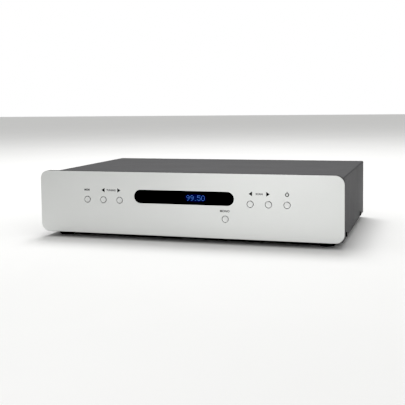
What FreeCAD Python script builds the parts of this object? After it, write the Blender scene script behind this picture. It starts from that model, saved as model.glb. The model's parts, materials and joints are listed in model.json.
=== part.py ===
"""Full-width hi-fi FM tuner: aluminium front, folded steel case, and the works inside.

Row frame: X to the right, Y from the front to the back, Z up, millimetres. The origin is
at the middle of the overall box on the surface that the feet stand on. Inside this file
every place is given as x from the middle, y from the face of the front panel, and z.
"""
import FreeCAD, Part
import math
import operator
import os
import types

import Sketcher

SIZES = {
    # overall
    "panel_width": 440, "panel_height": 89, "panel_thick": 8, "panel_corner": 12, "panel_chamfer": 0.5,
    "case_inset": 3, "case_depth": 284, "foot_height": 8,
    # steel cover, tray and rear panel
    "cover_drop": 4.1, "cover_lift": 0.6, "cover_sheet": 1, "cover_bend": 2, "cover_gap": 0.3,
    "lip_height": 11, "lip_inset": 6, "tray_sheet": 1.2, "tray_wall": 18, "flange": 12,
    "vent_width": 3, "vent_length": 46, "vent_pitch": 8, "vent_count": 9, "vent_clear": 16,
    "board_vent_start": 26, "rear_vent_rise": 56, "rear_vent_pitch": 6, "rear_vent_count": 3,
    # window and display
    "window_length": 145, "window_height": 19, "window_centre": 54.8, "window_gap": 0.1, "window_set": 0.2,
    "rebate_margin": 4, "rebate_depth": 3, "rebate_gap": 0.3,
    "display_length": 128, "display_height": 22, "display_depth": 6, "display_gap": 1,
    "display_corner": 1, "display_bevel": 0.6,
    # round push buttons and their switches
    "button_radius": 4.1, "button_gap": 0.7, "button_proud": 0.4, "button_edge": 0.3,
    "flange_margin": 1.5, "pocket_gap": 0.6, "button_step": 4.5, "button_rest": 0.1, "flange_thick": 1.5,
    "stem_radius": 2.5, "button_row": 48.6, "mono_row": 27.1, "mono_x": 60,
    "pair_inner_x": 95, "pair_outer_x": 120, "end_button_x": 145,
    "switch_side": 6, "switch_height": 3.5, "switch_well": 2.8, "well_gap": 0.3,
    "plunger_radius": 1.7, "plunger_reach": 1.5, "plunger_length": 3.2,
    # front board on its spacers
    "board_space": 6.8, "board_thick": 1.6, "front_board_length": 332, "front_board_height": 52,
    "front_board_low": 18, "spacer_radius": 2.75, "spacer_inset": 6, "spacer_inner_x": 78,
    # M3 screws
    "screw_shank": 1.5, "screw_gap": 0.1, "screw_head": 2.9, "screw_head_height": 1.8, "screw_reach": 6,
    "panel_screw_end": 14.2, "panel_screw_edge": 12, "frame_screw_end": 36, "frame_screw_x": 72,
    "blind_depth": 6, "cover_head": 3.5, "cover_head_height": 1.8, "cover_reach": 5,
    "rear_screw_x": 144, "side_screw_front": 45, "side_screw_rear": 232, "side_screw_z": 5.2,
    # feet
    "foot_radius": 12, "foot_edge": 1.2, "foot_inset": 23, "foot_front": 30, "foot_rear": 28,
    "pad_outer": 9.5, "pad_inner": 4.6, "pad_height": 2, "pad_recess": 0.8, "pad_bevel": 0.3,
    "head_gap": 0.7, "foot_seat": 4,
    # toroidal transformer
    "core_gap": 27.2, "core_y": 108, "core_outer": 42, "core_inner": 14, "core_height": 36, "core_round": 8,
    "core_pad": 1.5, "pad_margin": 4, "washer_radius": 24, "washer_thick": 2.5, "washer_bevel": 1,
    "bolt_radius": 3, "bolt_gap": 0.3, "bolt_head": 5, "bolt_head_height": 4, "nut_height": 5, "bolt_spare": 2,
    # main board
    "main_left": 20, "main_right_gap": 24.2, "main_front": 70, "main_rear_gap": 9.8, "standoff": 8,
    "standoff_radius": 3, "standoff_inset": 6,
    # tuner can
    "can_length": 64, "can_depth": 46, "can_height": 16, "can_sheet": 0.5, "can_gap": 0.1, "lid_gap": 0.5,
    "divider_drop": 2,
    # sockets on the rear panel
    "socket_offset": 80, "socket_pitch": 22, "socket_rise": 9, "sleeve_radius": 4.15, "sleeve_wall": 0.5,
    "sleeve_length": 9, "sleeve_sunk": 4, "sleeve_shoulder": 0.65, "insert_bore": 1.65, "insert_set": 0.5,
    "insert_floor": 2, "neck_wall": 1.2, "neck_gap": 0.2, "block_depth": 12, "block_height": 16,
    "block_margin": 4, "neck_proud": 1,
    "aerial_inset": 50, "aerial_rise": 6.8, "aerial_radius": 4.7, "aerial_shoulder": 0.4, "aerial_inside": 8,
    "aerial_bore": 3.4, "aerial_reach": 11, "aerial_bevel": 0.5, "core_set": 0.4, "core_floor": 1,
    "aerial_hole": 0.6, "nut_wall": 1.4, "nut_thick": 2.4,
    # mains inlet and rocker switch
    "inlet_edge": 50.7, "inlet_z": 50, "inlet_width": 27, "inlet_height": 19.4, "inlet_wall": 1.3,
    "inlet_depth": 16, "inlet_back": 3, "inlet_flange": 50, "inlet_flange_height": 23,
    "inlet_flange_thick": 2.6, "inlet_corner": 5, "inlet_screw_x": 20, "inlet_screw_spare": 2, "inlet_gap": 0.2,
    "pin_width": 4, "pin_thick": 2,
    "pin_pitch": 7, "pin_drop": 2, "pin_rise": 2, "pin_short": 1.5, "tab_reach": 9,
    "rocker_offset": 50, "rocker_width": 11, "rocker_length": 19, "rocker_wall": 1.5, "rocker_flange": 1.5,
    "rocker_flange_margin": 1.5, "rocker_depth": 14, "rocker_gap": 0.35, "rocker_end_gap": 1.2, "rocker_tilt": 10,
    "pivot_radius": 1.3, "pivot_gap": 0.05, "paddle_depth": 6, "pivot_set": 3.2, "paddle_dip": 0.2,
    "paddle_rise": 1.6, "paddle_side": 2.6,
    # power supply parts on the main board
    "supply_inset": 34, "cap_space": 1.6, "cap_gap": 3.3, "cap_radius": 11, "cap_height": 32, "cap_edge": 1,
    "small_cap_x": 70, "small_cap_back": 50, "small_cap_gap": 3, "small_cap_radius": 5,
    "small_cap_height": 14, "small_cap_edge": 0.8, "small_cap_count": 6,
    "sink_inset": 30, "sink_forward": 8, "sink_length": 60, "sink_thick": 3, "sink_height": 40,
    "fin_depth": 11, "fin_thick": 1.6, "fin_count": 9,
    "regulator_count": 3, "regulator_width": 10, "regulator_thick": 4.5, "regulator_height": 9,
    "tab_thick": 1.3, "tab_height": 6.5, "leg_length": 8, "leg_width": 1, "leg_thick": 0.6, "leg_pitch": 2.54,
    "leg_set": 2,
    # chips, fuse and connectors on the main board
    "chip_back": 92, "chip_height": 3, "chip_lift": 0.4, "chip_undercut": 1,
    "fuse_x": 0, "fuse_back": 48, "fuse_rise": 5, "fuse_radius": 2.5, "fuse_length": 20,
    "clip_wall": 0.9, "clip_lip": 0.5, "clip_depth": 5, "clip_inset": 1, "clip_mouth": 3.2,
    "plug_x": 10, "plug_height": 8, "plug_width": 8, "power_plug": 26, "mains_plug": 16, "mains_plug_edge": 58,
    "header_depth": 6, "header_rise": 12, "header_margin": 2,
    # leads
    "lead_radius": 1.1, "lead_gap": 0.5, "lead_pitch": 5, "lead_count": 4, "lead_end_rise": 12,
    "mains_straight": 16, "mains_back": 30, "mains_spread": 8, "mains_across": 28, "mains_short": 20,
    "ribbon_x": 60, "ribbon_width": 30, "ribbon_thick": 1, "ribbon_out": 10, "ribbon_rise": 3,
    "ribbon_stand": 12,
}

# The flat chips, each by its place across the board, its length and its depth.
CHIPS = ((30, 26, 9), (64, 14, 14), (92, 10, 8))
# Bends of the transformer leads, each by how far it lies past the winding and above its middle.
LEAD_BENDS = ((22, 4), (50, 14))
# How far below its pin a mains lead has come at each of its last three bends.
MAINS_FALLS = (6, 4, 8)

doc = FreeCAD.newDocument("fm_tuner")
sheet = doc.addObject("Spreadsheet::Sheet", "sizes")
for row, (alias, number) in enumerate(SIZES.items(), 1):
    sheet.set(f"A{row}", alias)
    sheet.set(f"B{row}", str(number))
    sheet.setAlias(f"B{row}", alias)
doc.recompute()

OPERATIONS = {"+": operator.add, "-": operator.sub, "*": operator.mul, "/": operator.truediv}


class Size:
    """A length that knows both its number and its expression on the sheet."""

    def __init__(self, value, text):
        self.value = float(value)
        self.text = text

    def __add__(self, other):
        return joined(self, "+", other)

    def __radd__(self, other):
        return joined(other, "+", self)

    def __sub__(self, other):
        return joined(self, "-", other)

    def __rsub__(self, other):
        return joined(other, "-", self)

    def __mul__(self, other):
        return joined(self, "*", other)

    def __rmul__(self, other):
        return joined(other, "*", self)

    def __truediv__(self, other):
        return joined(self, "/", other)

    def __neg__(self):
        return joined(0, "-", self)


def as_size(number):
    return number if isinstance(number, Size) else Size(number, f"({number})")


def joined(left, sign, right):
    left, right = as_size(left), as_size(right)
    return Size(OPERATIONS[sign](left.value, right.value), f"({left.text} {sign} {right.text})")


def bind(item, name, length):
    """Ties one property or constraint to the sheet."""
    item.setExpression(name, as_size(length).text)


S = types.SimpleNamespace(**{alias: Size(number, "sizes." + alias) for alias, number in SIZES.items()})

# Levels that several pieces share.
BASE = S.foot_height
CASE_WIDTH = S.panel_width - S.case_inset * 2
CASE_TOP = BASE + S.panel_height - S.cover_drop
COVER_UNDER = CASE_TOP - S.cover_sheet
REAR = S.case_depth - S.cover_sheet
REAR_INNER = REAR - S.tray_sheet
FRONT_END = -S.button_proud
MIDDLE = (REAR + S.aerial_reach + FRONT_END) / 2
TRAY_TOP = BASE + S.tray_sheet
TRAY_HALF = CASE_WIDTH / 2 - S.cover_sheet - S.cover_gap
INNER_HALF = TRAY_HALF - S.tray_sheet - S.cover_gap
FRAME_BACK = S.panel_thick + S.tray_sheet
BOARD_FRONT = FRAME_BACK + S.board_space
BOARD_BACK = BOARD_FRONT + S.board_thick
SWITCH_FRONT = BOARD_FRONT - S.switch_height
PLUNGER_FRONT = SWITCH_FRONT - S.plunger_reach
MAIN_UNDER = TRAY_TOP + S.standoff
MAIN_TOP = MAIN_UNDER + S.board_thick
MAIN_REAR = REAR_INNER - S.main_rear_gap
MAIN_RIGHT = INNER_HALF - S.main_right_gap
SUPPLY_Y = S.main_front + S.supply_inset
PLUG_X = S.plug_x - S.main_left
CAP_X = PLUG_X + S.plug_width / 2 + S.cap_space + S.cap_radius
MAINS_PLUG_Y = MAIN_REAR - S.mains_plug_edge
CORE_X = INNER_HALF - S.core_outer - S.core_gap
SINK_X = MAIN_RIGHT - S.sink_length - S.sink_inset
PLUG_TOP = MAIN_TOP + S.plug_height

# Holes, each its pin or shaft with a clearance.
SCREW_HOLE = S.screw_shank + S.screw_gap
BOLT_HOLE = S.bolt_radius + S.bolt_gap
HEAD_HOLE = S.screw_head + S.head_gap
BUTTON_HOLE = S.button_radius + S.button_gap
FLANGE_RADIUS = S.button_radius + S.flange_margin
POCKET_RADIUS = FLANGE_RADIUS + S.pocket_gap
WELL_RADIUS = S.plunger_radius + S.well_gap

# Places on the rear panel.
AERIAL_X = MAIN_RIGHT - S.aerial_inset
SOCKET_X = AERIAL_X - S.socket_offset
INLET_X = TRAY_HALF - S.inlet_edge
ROCKER_X = INLET_X - S.rocker_offset
SOCKETS = (SOCKET_X - S.socket_pitch / 2, SOCKET_X + S.socket_pitch / 2)
SOCKET_Z = MAIN_TOP + S.socket_rise
AERIAL_Z = MAIN_TOP + S.aerial_rise
LID_DROP = S.can_height - S.aerial_rise - S.aerial_radius - S.lid_gap
SLEEVE_COLLAR = S.sleeve_radius + S.sleeve_shoulder
NECK_RADIUS = SLEEVE_COLLAR + S.neck_wall
AERIAL_COLLAR = S.aerial_radius + S.aerial_shoulder
NUT_FLAT = AERIAL_COLLAR + S.nut_wall
ROCKER_OUT_W = S.rocker_width + S.rocker_wall * 2
ROCKER_OUT_H = S.rocker_length + S.rocker_wall * 2

# Shares of a screw head: how round its edge is, how deep its cross and how long its arms.
HEAD_ROUND, CROSS_DEPTH, CROSS_ARM = 0.55, 0.6, 0.55
# Share of a lead's shorter run that each of its bends takes up.
BEND_SHARE = 0.45
# Share of the paddle's length that its narrow foot keeps.
PADDLE_FOOT = 0.45

BUTTONS = {
    "memory": (-S.end_button_x, S.button_row),
    "tuning_down": (-S.pair_outer_x, S.button_row),
    "tuning_up": (-S.pair_inner_x, S.button_row),
    "mono": (S.mono_x, S.mono_row),
    "scan_down": (S.pair_inner_x, S.button_row),
    "scan_up": (S.pair_outer_x, S.button_row),
    "power": (S.end_button_x, S.button_row),
}

# Closeness of one level to another, in millimetres, and of a lead's volume to its length times its section.
CLOSE, VOLUME_SLACK = 1e-4, 0.02

# Which way each origin plane's own normal points along its row axis.
NORMALS = {"XY": 1, "XZ": -1, "YZ": 1}
AXES = {"XY": 2, "XZ": 1, "YZ": 0}
PARTS = []


# ---------------------------------------------------------------- building helpers

def new_body(label, x=0, y=0, z=0, tilt=None):
    """A sub-part whose own zero stands at x, y (from the panel's face) and z.

    tilt, in degrees, turns it about the row's X.
    """
    body = doc.addObject("PartDesign::Body", label)
    body.Label = label
    body.AllowCompound = True
    if tilt:
        turn = FreeCAD.Rotation(FreeCAD.Vector(1, 0, 0), tilt.value)
        body.Placement = FreeCAD.Placement(FreeCAD.Vector(), turn)
        bind(body, "Placement.Rotation.Angle", tilt)
    for axis, place in zip("xyz", (x, y - MIDDLE, z)):
        bind(body, f"Placement.Base.{axis}", place)
    PARTS.append(body)
    return body


def new_sketch(body, plane, level, shapes):
    """A sketch on one of the body's origin planes, moved to a level along its axis."""
    origin = next(item for item in body.Origin.OriginFeatures if item.Role == plane + "_Plane")
    sketch = body.newObject("Sketcher::SketchObject", body.Label + "_sketch")
    sketch.AttachmentSupport = [(origin, "")]
    sketch.MapMode = "FlatFace"
    bind(sketch, "AttachmentOffset.Base.z", NORMALS[plane] * as_size(level))
    for shape in shapes:
        shape(sketch)
    return sketch


def constrain(sketch, kind, *where, length):
    index = sketch.ConstraintCount
    length = as_size(length)
    sketch.addConstraint(Sketcher.Constraint(kind, *where, length.value))
    bind(sketch, f"Constraints[{index}]", length)


def pin_point(sketch, edge, end, x, y):
    constrain(sketch, "DistanceX", -1, 1, edge, end, length=x)
    constrain(sketch, "DistanceY", -1, 1, edge, end, length=y)


def outline(*corners):
    """A closed outline of straight edges, each corner tied to the sheet."""
    def draw(sketch):
        first = sketch.GeometryCount
        points = [FreeCAD.Vector(as_size(x).value, as_size(y).value, 0) for x, y in corners]
        count = len(points)
        sketch.addGeometry([Part.LineSegment(points[i], points[(i + 1) % count]) for i in range(count)], False)
        for i, (x, y) in enumerate(corners):
            sketch.addConstraint(Sketcher.Constraint("Coincident", first + i, 2, first + (i + 1) % count, 1))
            pin_point(sketch, first + i, 1, x, y)
    return draw


def rectangle(x, y, width, height):
    return outline((x, y), (x + width, y), (x + width, y + height), (x, y + height))


def centred(x, y, width, height):
    return rectangle(x - width / 2, y - height / 2, width, height)


def circle(x, y, radius):
    def draw(sketch):
        edge = sketch.GeometryCount
        centre = FreeCAD.Vector(as_size(x).value, as_size(y).value, 0)
        sketch.addGeometry(Part.Circle(centre, FreeCAD.Vector(0, 0, 1), as_size(radius).value), False)
        pin_point(sketch, edge, 3, x, y)
        constrain(sketch, "Radius", edge, length=radius)
    return draw


def hexagon(x, y, flat):
    """A hexagon with two flats above and below, flat being half its width across flats."""
    side = flat / math.cos(math.pi / 6)
    turns = [a * math.pi / 3 for a in range(6)]
    return outline(*[(x + side * round(math.cos(a), 6), y + side * round(math.sin(a), 6)) for a in turns])


def stadium(x, y, length, height):
    """A slot with round ends, lying along the sketch's first axis."""
    def draw(sketch):
        right = sketch.GeometryCount
        left, low, high = right + 1, right + 2, right + 3
        radius, reach = as_size(height) / 2, (as_size(length) - height) / 2
        cx, cy, r, half = as_size(x).value, as_size(y).value, radius.value, reach.value
        up = FreeCAD.Vector(0, 0, 1)
        ends = [FreeCAD.Vector(cx + half, cy, 0), FreeCAD.Vector(cx - half, cy, 0)]
        sketch.addGeometry([
            Part.ArcOfCircle(Part.Circle(ends[0], up, r), -math.pi / 2, math.pi / 2),
            Part.ArcOfCircle(Part.Circle(ends[1], up, r), math.pi / 2, 3 * math.pi / 2),
            Part.LineSegment(FreeCAD.Vector(cx - half, cy - r, 0), FreeCAD.Vector(cx + half, cy - r, 0)),
            Part.LineSegment(FreeCAD.Vector(cx - half, cy + r, 0), FreeCAD.Vector(cx + half, cy + r, 0)),
        ], False)
        sketch.addConstraint([
            Sketcher.Constraint("Tangent", right, 1, low, 2), Sketcher.Constraint("Tangent", right, 2, high, 2),
            Sketcher.Constraint("Tangent", left, 1, high, 1), Sketcher.Constraint("Tangent", left, 2, low, 1),
            Sketcher.Constraint("Equal", right, left), Sketcher.Constraint("Horizontal", low),
        ])
        pin_point(sketch, left, 3, x - reach, y)
        constrain(sketch, "DistanceX", left, 3, right, 3, length=reach * 2)
        constrain(sketch, "Radius", right, length=radius)
    return draw


def pad(body, plane, level, depth, *shapes):
    """Adds material from level to level + depth, always towards the positive axis."""
    feature = body.newObject("PartDesign::Pad", body.Label + "_pad")
    feature.Profile = new_sketch(body, plane, level, shapes)
    feature.Reversed = NORMALS[plane] < 0
    bind(feature, "Length", depth)
    doc.recompute()
    return feature


def cut(body, plane, level, depth, *shapes):
    """Removes material from level to level + depth, always towards the positive axis."""
    before = body.Tip.Shape.Volume
    feature = body.newObject("PartDesign::Pocket", body.Label + "_cut")
    feature.Profile = new_sketch(body, plane, level, shapes)
    feature.Reversed = NORMALS[plane] > 0
    bind(feature, "Length", depth)
    doc.recompute()
    if feature.Shape.Volume > before - 1e-3:
        raise RuntimeError(f"{feature.Label} cuts nothing")
    return feature


def revolve(body, *corners):
    """A solid of revolution about the body's own Z, from corners of (radius, height)."""
    feature = body.newObject("PartDesign::Revolution", body.Label + "_turned")
    feature.Profile = new_sketch(body, "XZ", 0, [outline(*corners)])
    feature.ReferenceAxis = (feature.Profile[0], ["V_Axis"])
    feature.Angle = 360
    doc.recompute()
    return feature


def soften(body, kind, radius, chosen):
    """A Fillet or Chamfer on the edges of the body's last shape that chosen() picks."""
    base = body.Tip
    names = [f"Edge{i}" for i, edge in enumerate(base.Shape.Edges, 1) if chosen(edge)]
    if not names:
        raise RuntimeError(f"{body.Label} has no such edge")
    feature = body.newObject("PartDesign::" + kind, body.Label + "_" + kind.lower())
    feature.Base = (base, names)
    bind(feature, "Radius" if kind == "Fillet" else "Size", radius)
    doc.recompute()
    return feature


def along(axis, *tests):
    """Picks straight edges along an axis (0, 1 or 2) whose middle passes the tests."""
    def chosen(edge):
        if edge.Curve.TypeId != "Part::GeomLine":
            return False
        return abs(edge.Curve.Direction[axis]) > 0.999 and all(test(edge.CenterOfMass) for test in tests)
    return chosen


def at_level(axis, level):
    """Picks every edge that lies flat at one level of an axis."""
    value = as_size(level).value
    def chosen(edge):
        box = edge.BoundBox
        low, high = ((box.XMin, box.XMax), (box.YMin, box.YMax), (box.ZMin, box.ZMax))[axis]
        return abs(low - value) < CLOSE and abs(high - value) < CLOSE
    return chosen


def crosses(places, arm):
    """Cross-recess outlines, a slot each way, for screws at the given places."""
    slots = []
    for x, y in places:
        slots.append(outline(
            (x - arm, y - arm / 4), (x - arm / 4, y - arm / 4), (x - arm / 4, y - arm), (x + arm / 4, y - arm),
            (x + arm / 4, y - arm / 4), (x + arm, y - arm / 4), (x + arm, y + arm / 4), (x + arm / 4, y + arm / 4),
            (x + arm / 4, y + arm), (x - arm / 4, y + arm), (x - arm / 4, y + arm / 4), (x - arm, y + arm / 4)))
    return slots


def add_screws(body, plane, face, places, towards, head, head_height, reach):
    """Pan-head screws: the head stands on the face, the shank runs through it.

    towards is +1 where the shank runs along the positive axis, -1 where it runs back.
    """
    head_start, shank_start = (face - head_height, face) if towards > 0 else (face, face - reach)
    pad(body, plane, shank_start, reach, *[circle(x, y, S.screw_shank) for x, y in places])
    pad(body, plane, head_start, head_height, *[circle(x, y, head) for x, y in places])
    outer = head_start if towards > 0 else face + head_height
    level = at_level(AXES[plane], outer)
    soften(body, "Fillet", head_height * HEAD_ROUND, level)
    recess = head_height * CROSS_DEPTH
    start = outer if towards > 0 else outer - recess
    cut(body, plane, start, recess, *crosses(places, head * CROSS_ARM))


# ---------------------------------------------------------------- front

def panel_screw_places():
    end = INNER_HALF - S.panel_screw_end
    return [(x, z) for x in (-end, as_size(0), end)
            for z in (BASE + S.panel_screw_edge, BASE + S.panel_height - S.panel_screw_edge)]


def build_front_panel():
    """The thick aluminium front, with its window, button holes and blind screw holes."""
    body = new_body("front_panel")
    width, height, centre = S.panel_width, S.panel_height, BASE + S.window_centre
    pad(body, "XZ", 0, S.panel_thick, rectangle(-width / 2, BASE, width, height))
    soften(body, "Fillet", S.panel_corner, along(1))
    soften(body, "Chamfer", S.panel_chamfer, at_level(1, 0))
    cut(body, "XZ", 0, S.panel_thick, stadium(0, centre, S.window_length, S.window_height))
    rebate = S.rebate_margin * 2
    cut(body, "XZ", S.panel_thick - S.rebate_depth, S.rebate_depth,
        stadium(0, centre, S.window_length + rebate, S.window_height + rebate))
    cut(body, "XZ", 0, S.panel_thick, *[circle(x, BASE + z, BUTTON_HOLE) for x, z in BUTTONS.values()])
    cut(body, "XZ", S.button_step, S.panel_thick - S.button_step,
        *[circle(x, BASE + z, POCKET_RADIUS) for x, z in BUTTONS.values()])
    cut(body, "XZ", S.panel_thick - S.blind_depth, S.blind_depth,
        *[circle(x, z, SCREW_HOLE) for x, z in panel_screw_places()])


def build_display_window():
    """Black acrylic lens: a face that fills the opening and a flange in the rebate."""
    body = new_body("display_window", z=BASE + S.window_centre)
    gap, rebate = S.window_gap * 2, (S.rebate_margin - S.rebate_gap) * 2
    step = S.panel_thick - S.rebate_depth
    pad(body, "XZ", S.window_set, step - S.window_set,
        stadium(0, 0, S.window_length - gap, S.window_height - gap))
    pad(body, "XZ", step, S.rebate_depth - S.rebate_gap,
        stadium(0, 0, S.window_length + rebate, S.window_height + rebate))


def build_buttons():
    """Seven turned caps, each held by a flange behind the panel, with its switch plunger."""
    for name, (x, z) in BUTTONS.items():
        cap = new_body("button_" + name, x=x, z=BASE + z)
        shoulder = S.button_step + S.button_rest
        stem = shoulder + S.flange_thick
        pad(cap, "XZ", FRONT_END, shoulder - FRONT_END, circle(0, 0, S.button_radius))
        soften(cap, "Fillet", S.button_edge, at_level(1, FRONT_END))
        pad(cap, "XZ", shoulder, S.flange_thick, circle(0, 0, FLANGE_RADIUS))
        pad(cap, "XZ", stem, PLUNGER_FRONT - stem, circle(0, 0, S.stem_radius))
        plunger = new_body("plunger_" + name, x=x, y=PLUNGER_FRONT, z=BASE + z)
        pad(plunger, "XZ", 0, S.plunger_length, circle(0, 0, S.plunger_radius))


def build_key_switches():
    """Seven tact switch cases on the front board, each with a well for its plunger."""
    body = new_body("key_switches")
    pad(body, "XZ", SWITCH_FRONT, S.switch_height,
        *[centred(x, BASE + z, S.switch_side, S.switch_side) for x, z in BUTTONS.values()])
    cut(body, "XZ", SWITCH_FRONT, S.switch_well,
        *[circle(x, BASE + z, WELL_RADIUS) for x, z in BUTTONS.values()])


def frame_screw_places():
    end, y = CASE_WIDTH / 2 - S.frame_screw_end, FRAME_BACK + S.flange / 2
    return [(x, y) for x in (-end, -S.frame_screw_x, S.frame_screw_x, end)]


def build_front_frame():
    """Steel plate behind the front panel, folded back at its foot onto the tray."""
    body = new_body("front_frame")
    half, top = INNER_HALF, COVER_UNDER - S.cover_gap
    pad(body, "XZ", S.panel_thick, S.tray_sheet, rectangle(-half, TRAY_TOP, half * 2, top - TRAY_TOP))
    pad(body, "XZ", FRAME_BACK, S.flange, rectangle(-half, TRAY_TOP, half * 2, S.tray_sheet))
    centre = BASE + S.window_centre
    cut(body, "XZ", S.panel_thick, S.tray_sheet,
        centred(0, centre, S.display_length + S.display_gap * 2, S.display_height + S.display_gap * 2),
        *[circle(x, BASE + z, POCKET_RADIUS) for x, z in BUTTONS.values()],
        *[circle(x, z, SCREW_HOLE) for x, z in panel_screw_places()])
    cut(body, "XY", TRAY_TOP, S.tray_sheet, *[circle(x, y, SCREW_HOLE) for x, y in frame_screw_places()])


def spacer_places():
    low, high = BASE + S.front_board_low, BASE + S.front_board_low + S.front_board_height
    end = S.front_board_length / 2 - S.spacer_inset
    return [(x, z) for x in (-end, -S.spacer_inner_x, S.spacer_inner_x, end)
            for z in (low + S.spacer_inset, high - S.spacer_inset)]


def build_front_board():
    """Circuit board for the display and keys, with the spacers that hold it."""
    body = new_body("front_board")
    low = BASE + S.front_board_low
    pad(body, "XZ", BOARD_FRONT, S.board_thick,
        rectangle(-S.front_board_length / 2, low, S.front_board_length, S.front_board_height))
    cut(body, "XZ", BOARD_FRONT, S.board_thick, *[circle(x, z, SCREW_HOLE) for x, z in spacer_places()])
    spacers = new_body("front_board_spacers")
    pad(spacers, "XZ", FRAME_BACK, S.board_space, *[hexagon(x, z, S.spacer_radius) for x, z in spacer_places()])
    cut(spacers, "XZ", FRAME_BACK, S.board_space, *[circle(x, z, SCREW_HOLE) for x, z in spacer_places()])


def build_display_module():
    """Flat glass display tube between the lens and the front board."""
    body = new_body("display_module", z=BASE + S.window_centre)
    pad(body, "XZ", BOARD_FRONT - S.display_depth, S.display_depth,
        centred(0, 0, S.display_length, S.display_height))
    soften(body, "Fillet", S.display_corner, along(1))
    soften(body, "Chamfer", S.display_bevel, at_level(1, BOARD_FRONT - S.display_depth))


# ---------------------------------------------------------------- case

def foot_places():
    x = CASE_WIDTH / 2 - S.foot_inset
    return [(side * x, y) for side in (-1, 1) for y in (S.foot_front, S.case_depth - S.foot_rear)]


def standoff_places():
    inset = S.standoff_inset
    return [(x, y) for x in (-S.main_left + inset, MAIN_RIGHT - inset)
            for y in (S.main_front + inset, (S.main_front + MAIN_REAR) / 2, MAIN_REAR - inset)]


def rear_flange_places():
    return [(x, REAR_INNER - S.flange / 2) for x in (-S.rear_screw_x, as_size(0), S.rear_screw_x)]


def side_screw_places():
    return [(S.side_screw_front, BASE + S.side_screw_z), (S.side_screw_rear, BASE + S.side_screw_z)]


def lip_screw_places():
    return [(x, CASE_TOP - S.lip_height / 2) for x in (-S.rear_screw_x, as_size(0), S.rear_screw_x)]


def vents(x, first_y):
    return [stadium(x, first_y + S.vent_pitch * i, S.vent_length, S.vent_width)
            for i in range(SIZES["vent_count"])]


def build_chassis_tray():
    """Steel floor with two turned-up sides, vented under the warm parts."""
    body = new_body("chassis_tray")
    depth = REAR_INNER - S.panel_thick
    inner = TRAY_HALF - S.tray_sheet
    pad(body, "XZ", S.panel_thick, depth, outline(
        (-TRAY_HALF, BASE), (TRAY_HALF, BASE), (TRAY_HALF, BASE + S.tray_wall), (inner, BASE + S.tray_wall),
        (inner, TRAY_TOP), (-inner, TRAY_TOP), (-inner, BASE + S.tray_wall), (-TRAY_HALF, BASE + S.tray_wall)))
    edge = as_size(BASE).value
    soften(body, "Fillet", S.tray_sheet, along(1, lambda middle: abs(middle.z - edge) < CLOSE))
    cut(body, "XY", BASE, S.tray_sheet,
        *[circle(x, y, SCREW_HOLE) for x, y in foot_places() + frame_screw_places() + rear_flange_places()],
        circle(-CORE_X, S.core_y, BOLT_HOLE))
    cut(body, "XY", BASE, S.tray_sheet, *vents(-CORE_X, S.core_y + S.core_outer + S.vent_clear),
        *vents((MAIN_RIGHT - S.main_left) / 2, S.main_front + S.board_vent_start))
    cut(body, "YZ", TRAY_HALF - S.tray_sheet, S.tray_sheet,
        *[circle(y, z, SCREW_HOLE) for y, z in side_screw_places()])
    cut(body, "YZ", -TRAY_HALF, S.tray_sheet, *[circle(y, z, SCREW_HOLE) for y, z in side_screw_places()])


def build_rear_panel():
    """Flat steel back with a foot flange, pierced for the sockets, inlet and switch."""
    body = new_body("rear_panel")
    half, top = TRAY_HALF - S.cover_gap, COVER_UNDER - S.cover_gap
    pad(body, "XZ", REAR_INNER, S.tray_sheet, rectangle(-half, BASE, half * 2, top - BASE))
    soften(body, "Fillet", S.cover_bend, along(1, lambda middle: middle.z > top.value - 1))
    pad(body, "XZ", REAR_INNER - S.flange, S.flange, rectangle(-INNER_HALF, TRAY_TOP, INNER_HALF * 2, S.tray_sheet))
    cut(body, "XY", TRAY_TOP, S.tray_sheet, *[circle(x, y, SCREW_HOLE) for x, y in rear_flange_places()])
    cut(body, "XZ", REAR_INNER, S.tray_sheet, *[circle(x, z, SCREW_HOLE) for x, z in lip_screw_places()])
    gap = S.inlet_gap * 2
    cut(body, "XZ", REAR_INNER, S.tray_sheet,
        *[circle(x, SOCKET_Z, NECK_RADIUS + S.neck_gap) for x in SOCKETS],
        circle(AERIAL_X, AERIAL_Z, AERIAL_COLLAR + S.neck_gap),
        centred(-INLET_X, S.inlet_z, S.inlet_width + gap, S.inlet_height + gap),
        *[circle(-INLET_X + side * S.inlet_screw_x, S.inlet_z, SCREW_HOLE) for side in (-1, 1)],
        centred(-ROCKER_X, S.inlet_z, ROCKER_OUT_W + gap, ROCKER_OUT_H + gap))
    cut(body, "XZ", REAR_INNER, S.tray_sheet,
        *[stadium(0, BASE + S.rear_vent_rise + S.rear_vent_pitch * i, S.vent_length, S.vent_width)
          for i in range(SIZES["rear_vent_count"])])


def build_top_cover():
    """Folded steel cover: top and both sides, with a lip down over the rear panel."""
    body = new_body("top_cover")
    half, low, thick = CASE_WIDTH / 2, BASE + S.cover_lift, S.cover_sheet
    inner = half - thick
    pad(body, "XZ", S.panel_thick, S.case_depth - S.panel_thick, outline(
        (-half, low), (-inner, low), (-inner, COVER_UNDER), (inner, COVER_UNDER), (inner, low), (half, low),
        (half, CASE_TOP), (-half, CASE_TOP)))
    top, under = CASE_TOP.value, COVER_UNDER.value
    soften(body, "Fillet", S.cover_bend, along(1, lambda middle: abs(middle.z - top) < CLOSE))
    soften(body, "Fillet", S.cover_bend - thick, along(1, lambda middle: abs(middle.z - under) < CLOSE))
    lip_half = half - S.lip_inset
    lip = rectangle(-lip_half, CASE_TOP - S.lip_height, lip_half * 2, S.lip_height - thick / 2)
    pad(body, "XZ", REAR, thick, lip)
    cut(body, "XZ", REAR, thick, *[circle(x, z, SCREW_HOLE) for x, z in lip_screw_places()])
    cut(body, "YZ", inner, thick, *[circle(y, z, SCREW_HOLE) for y, z in side_screw_places()])
    cut(body, "YZ", -half, thick, *[circle(y, z, SCREW_HOLE) for y, z in side_screw_places()])


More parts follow.
